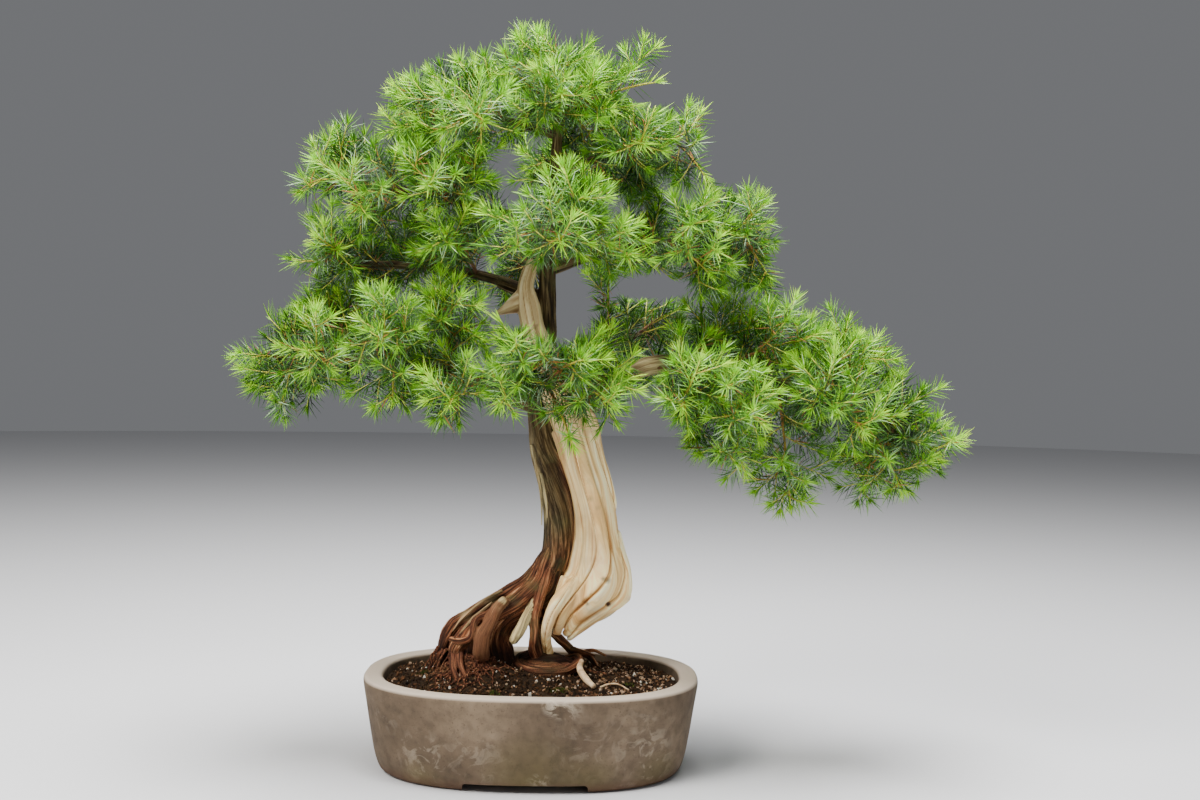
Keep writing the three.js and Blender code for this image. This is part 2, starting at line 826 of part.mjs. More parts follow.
// A stem with its needles in one skin: the core is three-sided, and each needle is a slim
// pyramid that grows out of one of its faces.
function stemSolid({ path, radius, neck = radius, whorls, tipLength }) {
  const points = [];
  const faces = [];
  const addRing = (middle, axis, roll, size) => {
    for (let corner = 0; corner < 3; corner++) {
      const out = leaning(axis, Math.PI / 2, roll + (corner * TAU) / 3);
      points.push(middle.clone().addScaledVector(out, size));
    }
    return points.length - 3;
  };
  let low = addRing(path.getPoint(0), path.getTangent(0), whorls[0].roll - TAU / 6, neck);
  faces.push(low, low + 2, low + 1);
  whorls.forEach(({ middle, axis, roll, apexes }, number) => {
    const size = radius * (1 - STEM_TAPER * ((number + 1) / whorls.length));
    const lower = middle.clone().addScaledVector(axis, -NEEDLE_ROOT / 2);
    const upper = middle.clone().addScaledVector(axis, NEEDLE_ROOT / 2);
    const foot = addRing(lower, axis, roll, size);
    const head = addRing(upper, axis, roll, size);
    for (let corner = 0; corner < 3; corner++) {
      const next = (corner + 1) % 3;
      faces.push(low + corner, low + next, foot + corner);
      faces.push(low + next, foot + next, foot + corner);
      if (apexes[corner]) {
        const apex = points.push(apexes[corner]) - 1;
        faces.push(foot + corner, foot + next, apex, foot + next, head + next, apex);
        faces.push(head + next, head + corner, apex, head + corner, foot + corner, apex);
      } else {
        faces.push(foot + corner, foot + next, head + corner);
        faces.push(foot + next, head + next, head + corner);
      }
    }
    low = head;
  });
  const tip = path.getPoint(1).addScaledVector(path.getTangent(1), tipLength);
  const apex = points.push(tip) - 1;
  for (let corner = 0; corner < 3; corner++) faces.push(low + corner, low + ((corner + 1) % 3), apex);
  return solidFromFaces(points, faces);
}

function spraySolid(bunch, woodAround) {
  return mainBody(union(bunch.stems.map(stemSolid)).subtract(woodAround));
}

// Scene graph
const bonsai = new THREE.Group();

function addNode(name, solid, finish) {
  const { vertProperties, triVerts } = solid.simplify(SHORT_EDGE).getMesh();
  const geometry = new THREE.BufferGeometry();
  geometry.setAttribute("position", new THREE.BufferAttribute(vertProperties, 3));
  geometry.setIndex(new THREE.BufferAttribute(triVerts, 1));
  const material = new THREE.MeshStandardMaterial({ metalness: 0, flatShading: true, ...finish });
  const mesh = new THREE.Mesh(geometry, material);
  mesh.name = name;
  bonsai.add(mesh);
}

const deadwood = woodSolid(deadwoodLimbs);
const deadwoodRoom = woodSolid(deadwoodLimbs, SEAT_GAP);
const liveWood = mainBody(woodSolid(liveLimbs()).subtract(deadwoodRoom));
const liveWoodRoom = woodSolid(liveLimbs(), SEAT_GAP);
const woodRoom = union([liveWoodRoom, deadwoodRoom]);
const stick = limbSolid(brokenStick);
const soil = mainBody(soilSolid().subtract(woodRoom).subtract(limbSolid(brokenStick, SEAT_GAP)));

addNode("pot", potSolid(), FINISH.stoneware);
addNode("soil", soil, FINISH.soil);
addNode("live_wood", liveWood, FINISH.bark);
addNode("deadwood", deadwood, FINISH.bleached);
addNode("broken_stick", stick, FINISH.stick);

addWoodRods();
const bunches = growTwigs();
growShoots(bunches);
growNeedles(bunches);
const counts = {};
for (const bunch of bunches) {
  counts[bunch.name] = (counts[bunch.name] ?? 0) + 1;
  const label = bunch.name.replace(/[A-Z]/g, (letter) => `_${letter.toLowerCase()}`);
  addNode(`spray_${label}_${counts[bunch.name]}`, spraySolid(bunch, woodRoom), FINISH.needles);
}

// The origin is the middle of the bounding box, at the height of the feet.
const bounds = new THREE.Box3().setFromObject(bonsai);
const middle = bounds.getCenter(new THREE.Vector3());
bonsai.position.set(-middle.x, -middle.y, -bounds.min.z);

export default bonsai;
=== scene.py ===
import math

import bpy
import numpy as np
from mathutils import Matrix, Vector, noise


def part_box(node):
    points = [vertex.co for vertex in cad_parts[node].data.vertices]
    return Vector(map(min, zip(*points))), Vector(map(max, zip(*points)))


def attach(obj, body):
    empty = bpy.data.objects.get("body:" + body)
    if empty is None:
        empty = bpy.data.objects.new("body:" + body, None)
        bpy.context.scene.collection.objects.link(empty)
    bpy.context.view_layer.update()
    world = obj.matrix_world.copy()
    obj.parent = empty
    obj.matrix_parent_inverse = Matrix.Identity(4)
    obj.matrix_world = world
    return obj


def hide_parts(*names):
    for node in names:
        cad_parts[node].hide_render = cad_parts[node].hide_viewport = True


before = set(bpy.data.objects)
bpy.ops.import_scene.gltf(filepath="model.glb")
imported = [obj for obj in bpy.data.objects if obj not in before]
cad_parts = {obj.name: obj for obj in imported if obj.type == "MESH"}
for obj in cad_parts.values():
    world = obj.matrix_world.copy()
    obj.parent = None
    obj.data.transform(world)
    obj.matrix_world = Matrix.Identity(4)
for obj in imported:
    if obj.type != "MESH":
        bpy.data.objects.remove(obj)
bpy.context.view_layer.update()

bpy.ops.object.select_all(action="DESELECT")

TAU = 2 * math.pi
GOLDEN_ANGLE = math.pi * (3 - math.sqrt(5))
UP = np.array([0.0, 0.0, 1.0])
AWAY = np.array([0.0, 1.0, 0.0])

pot_low, pot_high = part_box("pot")
TO_PLACE = Matrix.Translation(((pot_low.x + pot_high.x) / 2, (pot_low.y + pot_high.y) / 2, 0))
TO_PLACE = TO_PLACE @ Matrix.Scale(0.001, 4)

# Driving dimensions, in millimetres
POT_LENGTH = 300
POT_WIDTH = 228
POT_HEIGHT = 82
POT_LIP = 17
POT_FLOOR = 14
POT_CORNER = 2.5
POT_SIDES = 144
FOOT_GAP_LENGTH = 111
FOOT_GAP_HEIGHT = 7
FOOT_GAP_SLOPE = 4
DRAIN_RADIUS = 10
DRAIN_SPACING = 60
NEEDLE_LENGTH = 21
NEEDLE_WIDTH = 1.2
WHORL_STEP = 2.3
SHOOT_STEP = 7.4
TIP_SETBACK = 11
CAMERA_SPOT = (57, -1290, 361)


def paint(red, green, blue):
    """A colour given as on a screen, 0 to 255, in the linear values that a shader takes."""
    return tuple((channel / 255) ** 2.2 for channel in (red, green, blue)) + (1.0,)


# Wood: a limb is a row of stations (x, y, z, half width, half depth) along a smooth path
TRUNK = {
    "ridges": 4, "depth": 0.07, "twist": 5,
    "stations": [
        (4, 15, 158, 12, 17), (18, 16, 179, 13, 20), (22, 16, 207, 13.5, 22),
        (20.5, 16, 233, 13.5, 21), (14.5, 16, 257, 13.2, 19), (7.5, 18, 280, 13, 16),
        (3.5, 20, 302, 11.5, 14), (2, 22, 330, 11, 12), (6, 22, 371, 10, 11), (7, 14, 407, 8.5, 9),
        (7, 10, 444, 7.5), (9, 8, 480, 6.5), (11, 6, 516, 5.5), (13, 5, 552, 4.5),
        (16, 5, 588, 3.7), (18, 4, 610, 2.9),
    ],
}

ROOTS = {
    "outer_left": [
        (17, 18, 194, 6.5, 9), (0, 16, 166, 8, 9), (-21, 12, 150.5, 8, 9), (-46, 6, 137.5, 7.5, 9),
        (-70, 2, 121.5, 7.5, 8), (-80, -1, 106, 6.5, 7.5), (-79, 4, 94, 4.5, 6), (-76, 8, 72, 4, 6),
    ],
    "front_left": [
        (16, 6, 190, 7, 8), (2, 2, 160, 8, 9), (-19, -5, 144, 8), (-43, -12, 131, 7.5, 8),
        (-60, -16, 115, 7, 8), (-67, -16, 104, 6, 7), (-65, -8, 90, 5, 6), (-64, -6, 68, 5, 6),
    ],
    "smooth": [
        (-25, -13, 150, 4.6), (-33, -21, 138, 5.8), (-39.5, -26, 126, 6.6), (-43, -28, 114, 7.2),
        (-44.5, -28, 104, 7), (-42, -18, 95, 5),
    ],
    "broad": [
        (20, 12, 180, 10, 12), (11, 10, 156, 12, 14), (-5, 7, 141, 11, 14), (-23, 5, 130, 10.5, 14),
        (-34, 5, 112, 12.5, 13), (-33, 6, 94, 14.5, 12), (-33, 6, 68, 16, 14),
    ],
    "reddish": [
        (15, 3, 176, 5, 7), (10, -3, 159, 5, 6), (5, -8, 142, 4.8), (1, -9, 119, 4.6),
        (2, -3, 104, 4.8), (5, 4, 92, 5), (8, 8, 74, 4.4),
    ],
    "mass": [(-14, 18, 146, 8, 10), (-44, 18, 126, 11, 9), (-60, 14, 103, 13, 9), (-62, 10, 72, 14, 10)],
    "hidden": [(12, 16, 172, 8, 10), (7, 26, 138, 6.5, 8), (7, 30, 108, 6, 7), (4, 33, 66, 6, 7)],
    "stub": [(3, -3, 148, 4), (-6, -12, 132, 4.8), (-13, -16, 118, 4.8), (-17, -16, 110, 3)],
    "looped": [
        (-38, -16, 137, 2.8), (-50, -25, 133, 3.1), (-52, -29, 120, 2.9), (-62, -26, 114, 2.7),
        (-72, -15, 112, 2.6),
    ],
    "forward": [(-69, -12, 103, 3), (-70, -26, 97, 3), (-66, -37, 88, 2.9), (-59, -48, 72, 2.6)],
    "forward_twin": [(-62, -12, 104, 3), (-63, -26, 99, 3), (-59, -36, 91, 2.8), (-50, -45, 76, 2.2)],
    "coil_hub": [(-10, 14, 88, 5, 7), (2, 8, 90.5, 8, 12), (18, 7, 90.5, 8, 12), (35, 13, 87, 5, 7)],
    "trailing": [
        (6, 22, 122, 4.2), (26, 34, 103, 4), (36, 42, 92, 3.8), (50, 46, 88, 3), (62, 48, 70, 2.2),
    ],
    "trailing_fork": [(32, 38, 96, 2.6), (46, 34, 94, 2.2), (58, 40, 89, 1.4)],
    "trailing_end": [(42, 44, 91, 2.6), (56, 52, 92, 2), (68, 50, 87, 1.3)],
}

# Roots coiled on the soil about one middle: (size, rise, foot radius, thinning a step, least
# radius, steps, start, turn)
ROOT_COILS = {
    "outer_coil": (28, -1, 4.6, 0.1, 3.8, 10, -0.68, 0.84),
    "inner_coil": (19, 2.5, 3.8, 0.15, 2.8, 7, -0.7, 0.6),
    "upper_coil": (23.5, 1.5, 3.2, 0.1, 2.4, 8, -0.66, 0.62),
    "outer_strand": (31.5, -0.5, 2.4, 0.1, 1.6, 8, -0.6, 0.6),
}
COIL_MIDDLE = (14.5, 11, 89.5)
COIL_TILT = 4
COIL_DIP = 6

LIMBS = {
    "right": [
        (2, 26, 318, 11), (34, 33, 322, 11.5), (68, 12, 340, 10.5), (99, -5, 360, 9),
        (146, -10, 363, 7.2), (200, -10, 352, 5.8), (255, -5, 335, 4.6), (305, 0, 313, 3.6),
        (330, 0, 300, 2.7),
    ],
    "low_left": [
        (4, 20, 321, 8), (-33, -6, 336, 7), (-86, -20, 353, 6), (-139, -20, 361, 5),
        (-194, -10, 362, 3.8), (-220, -2, 359, 2.7),
    ],
    "front": [
        (2, 20, 344, 6), (-17, 2, 349, 5.4), (-12, -32, 353, 4.6), (4, -70, 351, 3.6),
        (13, -100, 345, 2.7),
    ],
    "mid_left": [
        (7, 14, 418, 6), (-37, 26, 436, 5), (-93, 30, 447, 4.2), (-157, 28, 449, 3.4),
        (-188, 22, 449, 2.6),
    ],
    "high_left": [(9, 8, 484, 5), (-36, 0, 496, 4.2), (-99, -10, 509, 3.4), (-162, -10, 520, 2.6)],
    "front_mid": [(9, 8, 462, 4.6), (11, -55, 467, 3.7), (15, -105, 470, 2.6)],
    "mid_right": [(8, 10, 446, 6), (63, 8, 465, 4.8), (117, 0, 474, 3.7), (166, 0, 478, 2.6)],
    "high_right": [(13, 6, 539, 4.2), (62, 0, 548, 3.4), (111, 0, 557, 2.6)],
    "top_left": [(14, 5, 566, 3.8), (-29, 0, 578, 3.2), (-79, 0, 588, 2.6)],
    "back_right": [(5, 20, 372, 5.5), (46, 70, 370, 4.2), (95, 115, 392, 2.7)],
    "back": [(8, 12, 436, 5), (-7, 70, 452, 3.8), (-24, 115, 460, 2.7)],
    "back_high": [(11, 6, 525, 4), (20, 60, 540, 3.3), (28, 100, 552, 2.6)],
}

DEADWOOD = {
    "flare": {
        "ridges": 4, "depth": 0.09, "twist": 1.5,
        "stations": [
            (34, 8, 303, 19, 19), (40.5, 10, 274, 18.5, 22), (47.5, 11, 252, 18.5, 24),
            (52.5, 12, 230, 19, 25), (55, 12, 208, 19.5, 26), (56.5, 12, 187, 24, 27),
            (57, 12, 167, 29.5, 26), (50, 12, 148, 26, 24), (40, 10, 132, 15, 18),
            (33, 8, 119, 5, 8),
        ],
    },
    "rim": {
        "stations": [
            (69, 11, 192, 10, 15), (76, 11, 171, 11, 15), (78, 11, 152, 9, 13),
            (62, 10, 139, 7.5, 12), (44, 9, 125, 6.5, 10), (31, 8, 113, 4, 6),
        ],
    },
    "web": {
        "stations": [(35, 3, 166, 11, 12), (28, 1, 145, 9, 11), (24, 0, 129, 7, 8), (23, 0, 117, 3, 4)],
    },
    "column": {
        "ridges": 3, "depth": 0.08, "twist": 1,
        "stations": [
            (37, 8, 290, 19, 17), (34, 6, 304, 19.5, 17), (21, 2, 332, 17, 14),
            (7, -2, 362, 13.5, 11), (-4, -3, 389, 10, 9), (-9, -3, 411, 10, 8.5),
            (-12, -3, 429, 6.8, 6.5), (-9, -3, 443, 6, 6), (-6, -3, 454, 3.2, 3.2),
        ],
    },
    "broken_branch": {
        "stations": [
            (-4, -3, 419, 15, 4.5), (-12, -4, 417, 13, 5), (-20, -5, 413.5, 8.5, 4.6),
            (-29, -7, 409, 4.6, 3.4), (-37, -8, 405, 1.6),
        ],
    },
    "strand": {
        "stations": [
            (38, -2, 168, 5.4, 6.4), (30, -5, 158, 5.4, 6.4), (20, -9, 144, 5.2, 6),
            (14, -11, 127, 4.6, 5), (12.5, -4, 112, 4.3, 4.4), (15, 5, 97, 4.3, 4.4),
            (19, 11, 68, 4, 4),
        ],
    },
}
BROKEN_STICK = [(45, -3, 92.6, 2.2), (43.5, -15, 88.4, 3), (49, -29, 82.5, 3.2), (56.5, -43, 78.5, 2.2)]
FALLEN_STEM = [(62, -46, 79, 0.8), (70, -44, 81.5, 0.8), (78, -47, 82, 0.7), (87, -52, 78.5, 0.5)]
SPLINTERS = [
    [(-4, 7, 287, 1.5), (1.5, 7, 262, 1.4), (5.5, 7, 238, 1.2), (6.2, 7, 214, 0.4)],
    [(5, -1, 262, 1.2), (9.5, -3, 240, 1.4), (11.5, -3.5, 222, 0.5)],
    [(-28, 0, 154.5, 1.4), (-46, -4, 145, 1.6), (-62, -7, 131.5, 1.5), (-72, -8, 118, 0.5)],
    [(-36, -14, 146, 1.2), (-52, -19, 133, 1.5), (-64, -22, 119, 0.6)],
]

# Foliage: each spray leaves a branch at a share of its length, and ends at one tip or at two
SPRAYS = [
    ("right", 0.97, (374, 0, 275)),
    ("right", 0.86, (352, 22, 335), (330, 45, 300)),
    ("right", 0.72, (312, -12, 380)),
    ("right", 0.55, (250, -30, 390)),
    ("right", 0.84, (332, -22, 245), (298, 26, 246)),
    ("right", 0.66, (228, -32, 229)),
    ("right", 0.5, (186, -72, 262), (128, -52, 296)),
    ("right", 0.38, (200, -112, 310), (122, -112, 322)),
    ("right", 0.76, (285, -85, 305), (236, -78, 348)),
    ("right", 0.46, (208, 58, 402), (148, 55, 392)),
    ("right", 0.7, (300, 90, 358), (255, 75, 303)),
    ("right", 0.52, (220, 108, 326)),
    ("low_left", 0.97, (-262, 2, 362), (-230, 14, 396)),
    ("low_left", 0.86, (-240, -22, 322), (-200, 40, 334)),
    ("low_left", 0.74, (-195, -85, 368)),
    ("low_left", 0.52, (-130, -110, 390), (-120, -72, 318)),
    ("low_left", 0.3, (-70, -105, 322)),
    ("low_left", 0.66, (-205, 95, 393), (-214, 55, 424)),
    ("low_left", 0.42, (-112, 95, 345)),
    ("low_left", 0.36, (-80, -58, 428), (-55, -62, 396)),
    ("front", 0.7, (-27, -140, 324)),
    ("front", 0.86, (40, -112, 284)),
    ("front", 0.6, (76, -128, 325), (88, -62, 360)),
    ("front", 0.97, (50, -150, 368), (-26, -150, 374)),
    ("mid_left", 0.97, (-232, 20, 449), (-172, -32, 460)),
    ("mid_left", 0.72, (-190, 85, 450), (-150, 60, 478)),
    ("mid_left", 0.5, (-115, 110, 470), (-158, 72, 428)),
    ("mid_left", 0.35, (-80, -80, 474)),
    ("high_left", 0.97, (-213, -10, 520), (-170, 22, 545)),
    ("high_left", 0.76, (-165, -58, 490)),
    ("high_left", 0.52, (-95, -95, 510), (-42, -62, 528)),
    ("high_left", 0.56, (-135, 80, 545)),
    ("front_mid", 0.9, (25, -155, 455), (-26, -140, 460)),
    ("front_mid", 0.7, (46, -130, 503)),
    ("front_mid", 0.5, (90, -110, 450)),
    ("mid_right", 0.97, (208, 0, 488), (210, -30, 432)),
    ("mid_right", 0.62, (155, -65, 436), (140, -66, 493)),
    ("mid_right", 0.74, (180, 75, 480), (176, 45, 430)),
    ("mid_right", 0.42, (112, 90, 458)),
    ("high_right", 0.97, (144, 0, 578), (152, -30, 520)),
    ("high_right", 0.55, (95, -75, 550)),
    ("high_right", 0.6, (100, 85, 550), (102, 55, 512)),
    ("top_left", 0.97, (-126, 0, 580)),
    ("top_left", 0.7, (-88, -62, 556), (-42, -95, 560)),
    ("top_left", 0.6, (-74, 60, 622), (-152, 62, 572)),
    ("trunk", 0.98, (15, 0, 649), (55, 20, 622)),
    ("trunk", 0.95, (-42, 0, 627), (-14, -50, 566)),
    ("trunk", 0.92, (112, -6, 618)),
    ("trunk", 0.9, (20, -75, 595), (70, -60, 580)),
    ("trunk", 0.93, (10, 65, 618), (50, 50, 568)),
    ("back_right", 0.97, (145, 135, 424), (95, 150, 386)),
    ("back_right", 0.7, (62, 150, 462)),
    ("back", 0.9, (-45, 140, 430), (15, 155, 480)),
    ("back_high", 0.9, (75, 125, 540), (-25, 130, 550)),
]
FORK_PLACE = 0.4
TWIG_ARCH = 0.12


class Path:
    """A smooth line through points, met at shares 0 to 1 of its stretches between them."""

    def __init__(self, points):
        self.points = np.array([point[:3] for point in points], float)
        first = 2 * self.points[0] - self.points[1]
        last = 2 * self.points[-1] - self.points[-2]
        self.padded = np.vstack([first, self.points, last])

    def _parts(self, share):
        count = len(self.points) - 1
        along = np.clip(np.asarray(share, float), 0, 1) * count
        low = np.minimum(along.astype(int), count - 1)
        before, start, end, after = (self.padded[low + step] for step in range(4))
        slope = (end - before) / 2
        far_slope = (after - start) / 2
        cubic = 2 * start - 2 * end + slope + far_slope
        square = -3 * start + 3 * end - 2 * slope - far_slope
        return (along - low)[..., None], start, slope, square, cubic

    def at(self, share):
        t, start, slope, square, cubic = self._parts(share)
        return start + t * (slope + t * (square + t * cubic))

    def heading(self, share):
        t, _, slope, square, cubic = self._parts(share)
        return unit(slope + t * (2 * square + 3 * t * cubic))


def unit(vectors):
    return vectors / np.maximum(np.linalg.norm(vectors, axis=-1, keepdims=True), 1e-9)


def walk(points):
    """How far along a line each of its points lies."""
    return np.concatenate([[0], np.cumsum(np.linalg.norm(np.diff(points, axis=0), axis=1))])


def limb_samples(limb, step):
    """Middles, frames and half sizes of a limb, about a step apart."""
    stations = limb["stations"]
    path = Path(stations)
    length = walk(path.at(np.linspace(0, 1, 60)))[-1]
    shares = np.linspace(0, 1, max(3, round(length / step) + 1))
    middles = path.at(shares)
    headings = path.heading(shares)
    places = np.linspace(0, 1, len(stations))
    widths = np.interp(shares, places, [station[3] for station in stations])
    depths = np.interp(shares, places, [station[-1] for station in stations])
    side = np.cross(AWAY, headings[0])
    if np.linalg.norm(side) < 0.5:
        side = -np.cross(UP, headings[0])
    sides = carried(side, headings)
    return {
        "shares": shares, "middles": middles, "headings": headings, "sides": sides,
        "deeps": np.cross(headings, sides), "widths": widths, "depths": depths,
        "walked": walk(middles),
    }


def carried(side, headings):
    """A side direction carried along a line, kept square to its headings."""
    sides = []
    for heading in headings:
        side = unit(side - heading * (side @ heading))
        sides.append(side)
    return np.array(sides)


def tube_arrays(middles, sides, deeps, widths, depths, corners, swell=None):
    """Points and triangles of a closed tube over rings."""
    angles = np.arange(corners) / corners * TAU
    around = np.ones((len(middles), corners)) if swell is None else swell(angles)
    points = middles[:, None] + (
        (np.cos(angles) * around)[..., None] * (sides * widths[:, None])[:, None]
        + (np.sin(angles) * around)[..., None] * (deeps * depths[:, None])[:, None]
    )
    rings = len(middles)
    walls = wall_faces(rings, corners)
    first = rings * corners
    start = np.arange(corners)
    end = start + (rings - 1) * corners
    foot = np.stack([np.full(corners, first), np.roll(start, -1), start], -1)
    head = np.stack([np.full(corners, first + 1), end, np.roll(end, -1)], -1)
    points = np.vstack([points.reshape(-1, 3), middles[[0, -1]]])
    return points, np.vstack([walls, foot, head])


def wall_faces(rings, corners):
    """Triangles between neighbouring rings of points."""
    here = np.arange((rings - 1) * corners).reshape(rings - 1, corners)
    beside = np.roll(here, -1, axis=1)
    walls = [here, beside, beside + corners, here, beside + corners, here + corners]
    return np.stack(walls, -1).reshape(-1, 3)


def limb_arrays(limb, step, corners):
    samples = limb_samples(limb, step)
    ridges, depth, twist = limb.get("ridges", 0), limb.get("depth", 0), limb.get("twist", 0)

    def swell(angles):
        return 1 + depth * np.cos(ridges * angles[None] + twist * samples["shares"][:, None])

    names = ("middles", "sides", "deeps", "widths", "depths")
    return tube_arrays(*(samples[name] for name in names), corners, swell)


def stack(parts):
    """Several (points, triangles) in one."""
    counts = np.cumsum([0] + [len(points) for points, _ in parts])
    points = np.vstack([points for points, _ in parts])
    return points, np.vstack([faces + start for (_, faces), start in zip(parts, counts)])


def mesh_object(name, points, faces, smooth=True):
    """An object whose mesh has these points and triangles."""
    mesh = bpy.data.meshes.new(name)
    mesh.vertices.add(len(points))
    mesh.vertices.foreach_set("co", np.asarray(points, np.float32).ravel())
    mesh.loops.add(3 * len(faces))
    mesh.loops.foreach_set("vertex_index", np.asarray(faces, np.int32).ravel())
    mesh.polygons.add(len(faces))
    mesh.polygons.foreach_set("loop_start", np.arange(0, 3 * len(faces), 3, dtype=np.int32))
    mesh.update(calc_edges=True)
    mesh.polygons.foreach_set("use_smooth", np.broadcast_to(smooth, len(faces)).astype(bool))
    piece = bpy.data.objects.new(name, mesh)
    bpy.context.scene.collection.objects.link(piece)
    return piece


def only(piece):
    """Makes a piece the one that operators act on."""
    bpy.ops.object.select_all(action="DESELECT")
    piece.select_set(True)
    bpy.context.view_layer.objects.active = piece


def points_of(piece, field="co"):
    """The points of a piece, or another vector of each."""
    values = np.empty(len(piece.data.vertices) * 3, np.float32)
    piece.data.vertices.foreach_get(field, values)
    return values.reshape(-1, 3).astype(float)


def move_points(piece, places):
    piece.data.vertices.foreach_set("co", places.astype(np.float32).ravel())
    piece.data.update()


def push_out(piece, distances):
    """Moves each point of a piece along its normal."""
    move_points(piece, points_of(piece) + points_of(piece, "normal") * distances[:, None])


def add_attribute(piece, name, values):
    """A number or a vector stored with each point."""
    values = np.asarray(values, np.float32)
    kind, field = ("FLOAT", "value") if values.ndim == 1 else ("FLOAT_VECTOR", "vector")
    piece.data.attributes.new(name, kind, "POINT").data.foreach_set(field, values.ravel())


def voxel_fuse(piece, size, smoothing):
    """Grows overlapping closed bodies into one skin and softens the joins."""
    only(piece)
    remesh = piece.modifiers.new("fuse", "REMESH")
    remesh.mode = "VOXEL"
    remesh.voxel_size = size
    bpy.ops.object.modifier_apply(modifier=remesh.name)
    soften = piece.modifiers.new("soften", "SMOOTH")
    soften.factor = 0.5
    soften.iterations = smoothing
    bpy.ops.object.modifier_apply(modifier=soften.name)
    bpy.ops.object.shade_smooth()


def nearest(points, spots, sizes=1.0, batch=4000):
    """For each point, the number of the spot that is nearest in terms of its size."""
    found = np.empty(len(points), int)
    for start in range(0, len(points), batch):
        away = points[start:start + batch, None] - spots[None]
        found[start:start + batch] = (np.linalg.norm(away, axis=2) / sizes).argmin(axis=1)
    return found


def grain_of(points, limbs, step=3.0):
    """For each point, where it lies on its nearest limb, as if that limb were straight: across,
    in depth and along, in millimetres, and the number of the limb."""
    samples = [limb_samples(limb, step) for limb in limbs]
    joined = {name: np.concatenate([sample[name] for sample in samples]) for name in samples[0]}
    owner = np.concatenate([np.full(len(s["walked"]), n) for n, s in enumerate(samples)])
    here = nearest(points, joined["middles"], np.sqrt(joined["widths"] * joined["depths"]))
    away = points - joined["middles"][here]
    across, deep, ahead = (
        np.einsum("ij,ij->i", away, joined[name][here]) for name in ("sides", "deeps", "headings")
    )
    return np.stack([across, deep, joined["walked"][here] + ahead], -1), owner[here]


def turned(grain, rate):
    """Grain coordinates turned about the limb's length, by a rate in radians a millimetre."""
    angle = grain[:, 2] * rate
    across = grain[:, 0] * np.cos(angle) - grain[:, 1] * np.sin(angle)
    deep = grain[:, 0] * np.sin(angle) + grain[:, 1] * np.cos(angle)
    return np.stack([across, deep, grain[:, 2]], -1)


def noise_at(places, scale, offset=0.0):
    """Smooth noise from -1 to 1 at each place, with a scale for each direction."""
    scaled = places * np.asarray(scale, float) + offset
    return np.array([noise.noise(Vector(place)) for place in scaled])


def near(places, spot, radius):
    """1 at a spot, falling off to nothing at about twice a radius away from it."""
    return np.exp(-((places - spot) ** 2).sum(axis=1) / radius ** 2)


def finish_piece(piece, slot, *nodes):
    """Moves a piece into place and ties it to the frame."""
    piece.data.transform(TO_PLACE)
    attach(piece, "root")
    if nodes:
        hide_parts(*nodes)


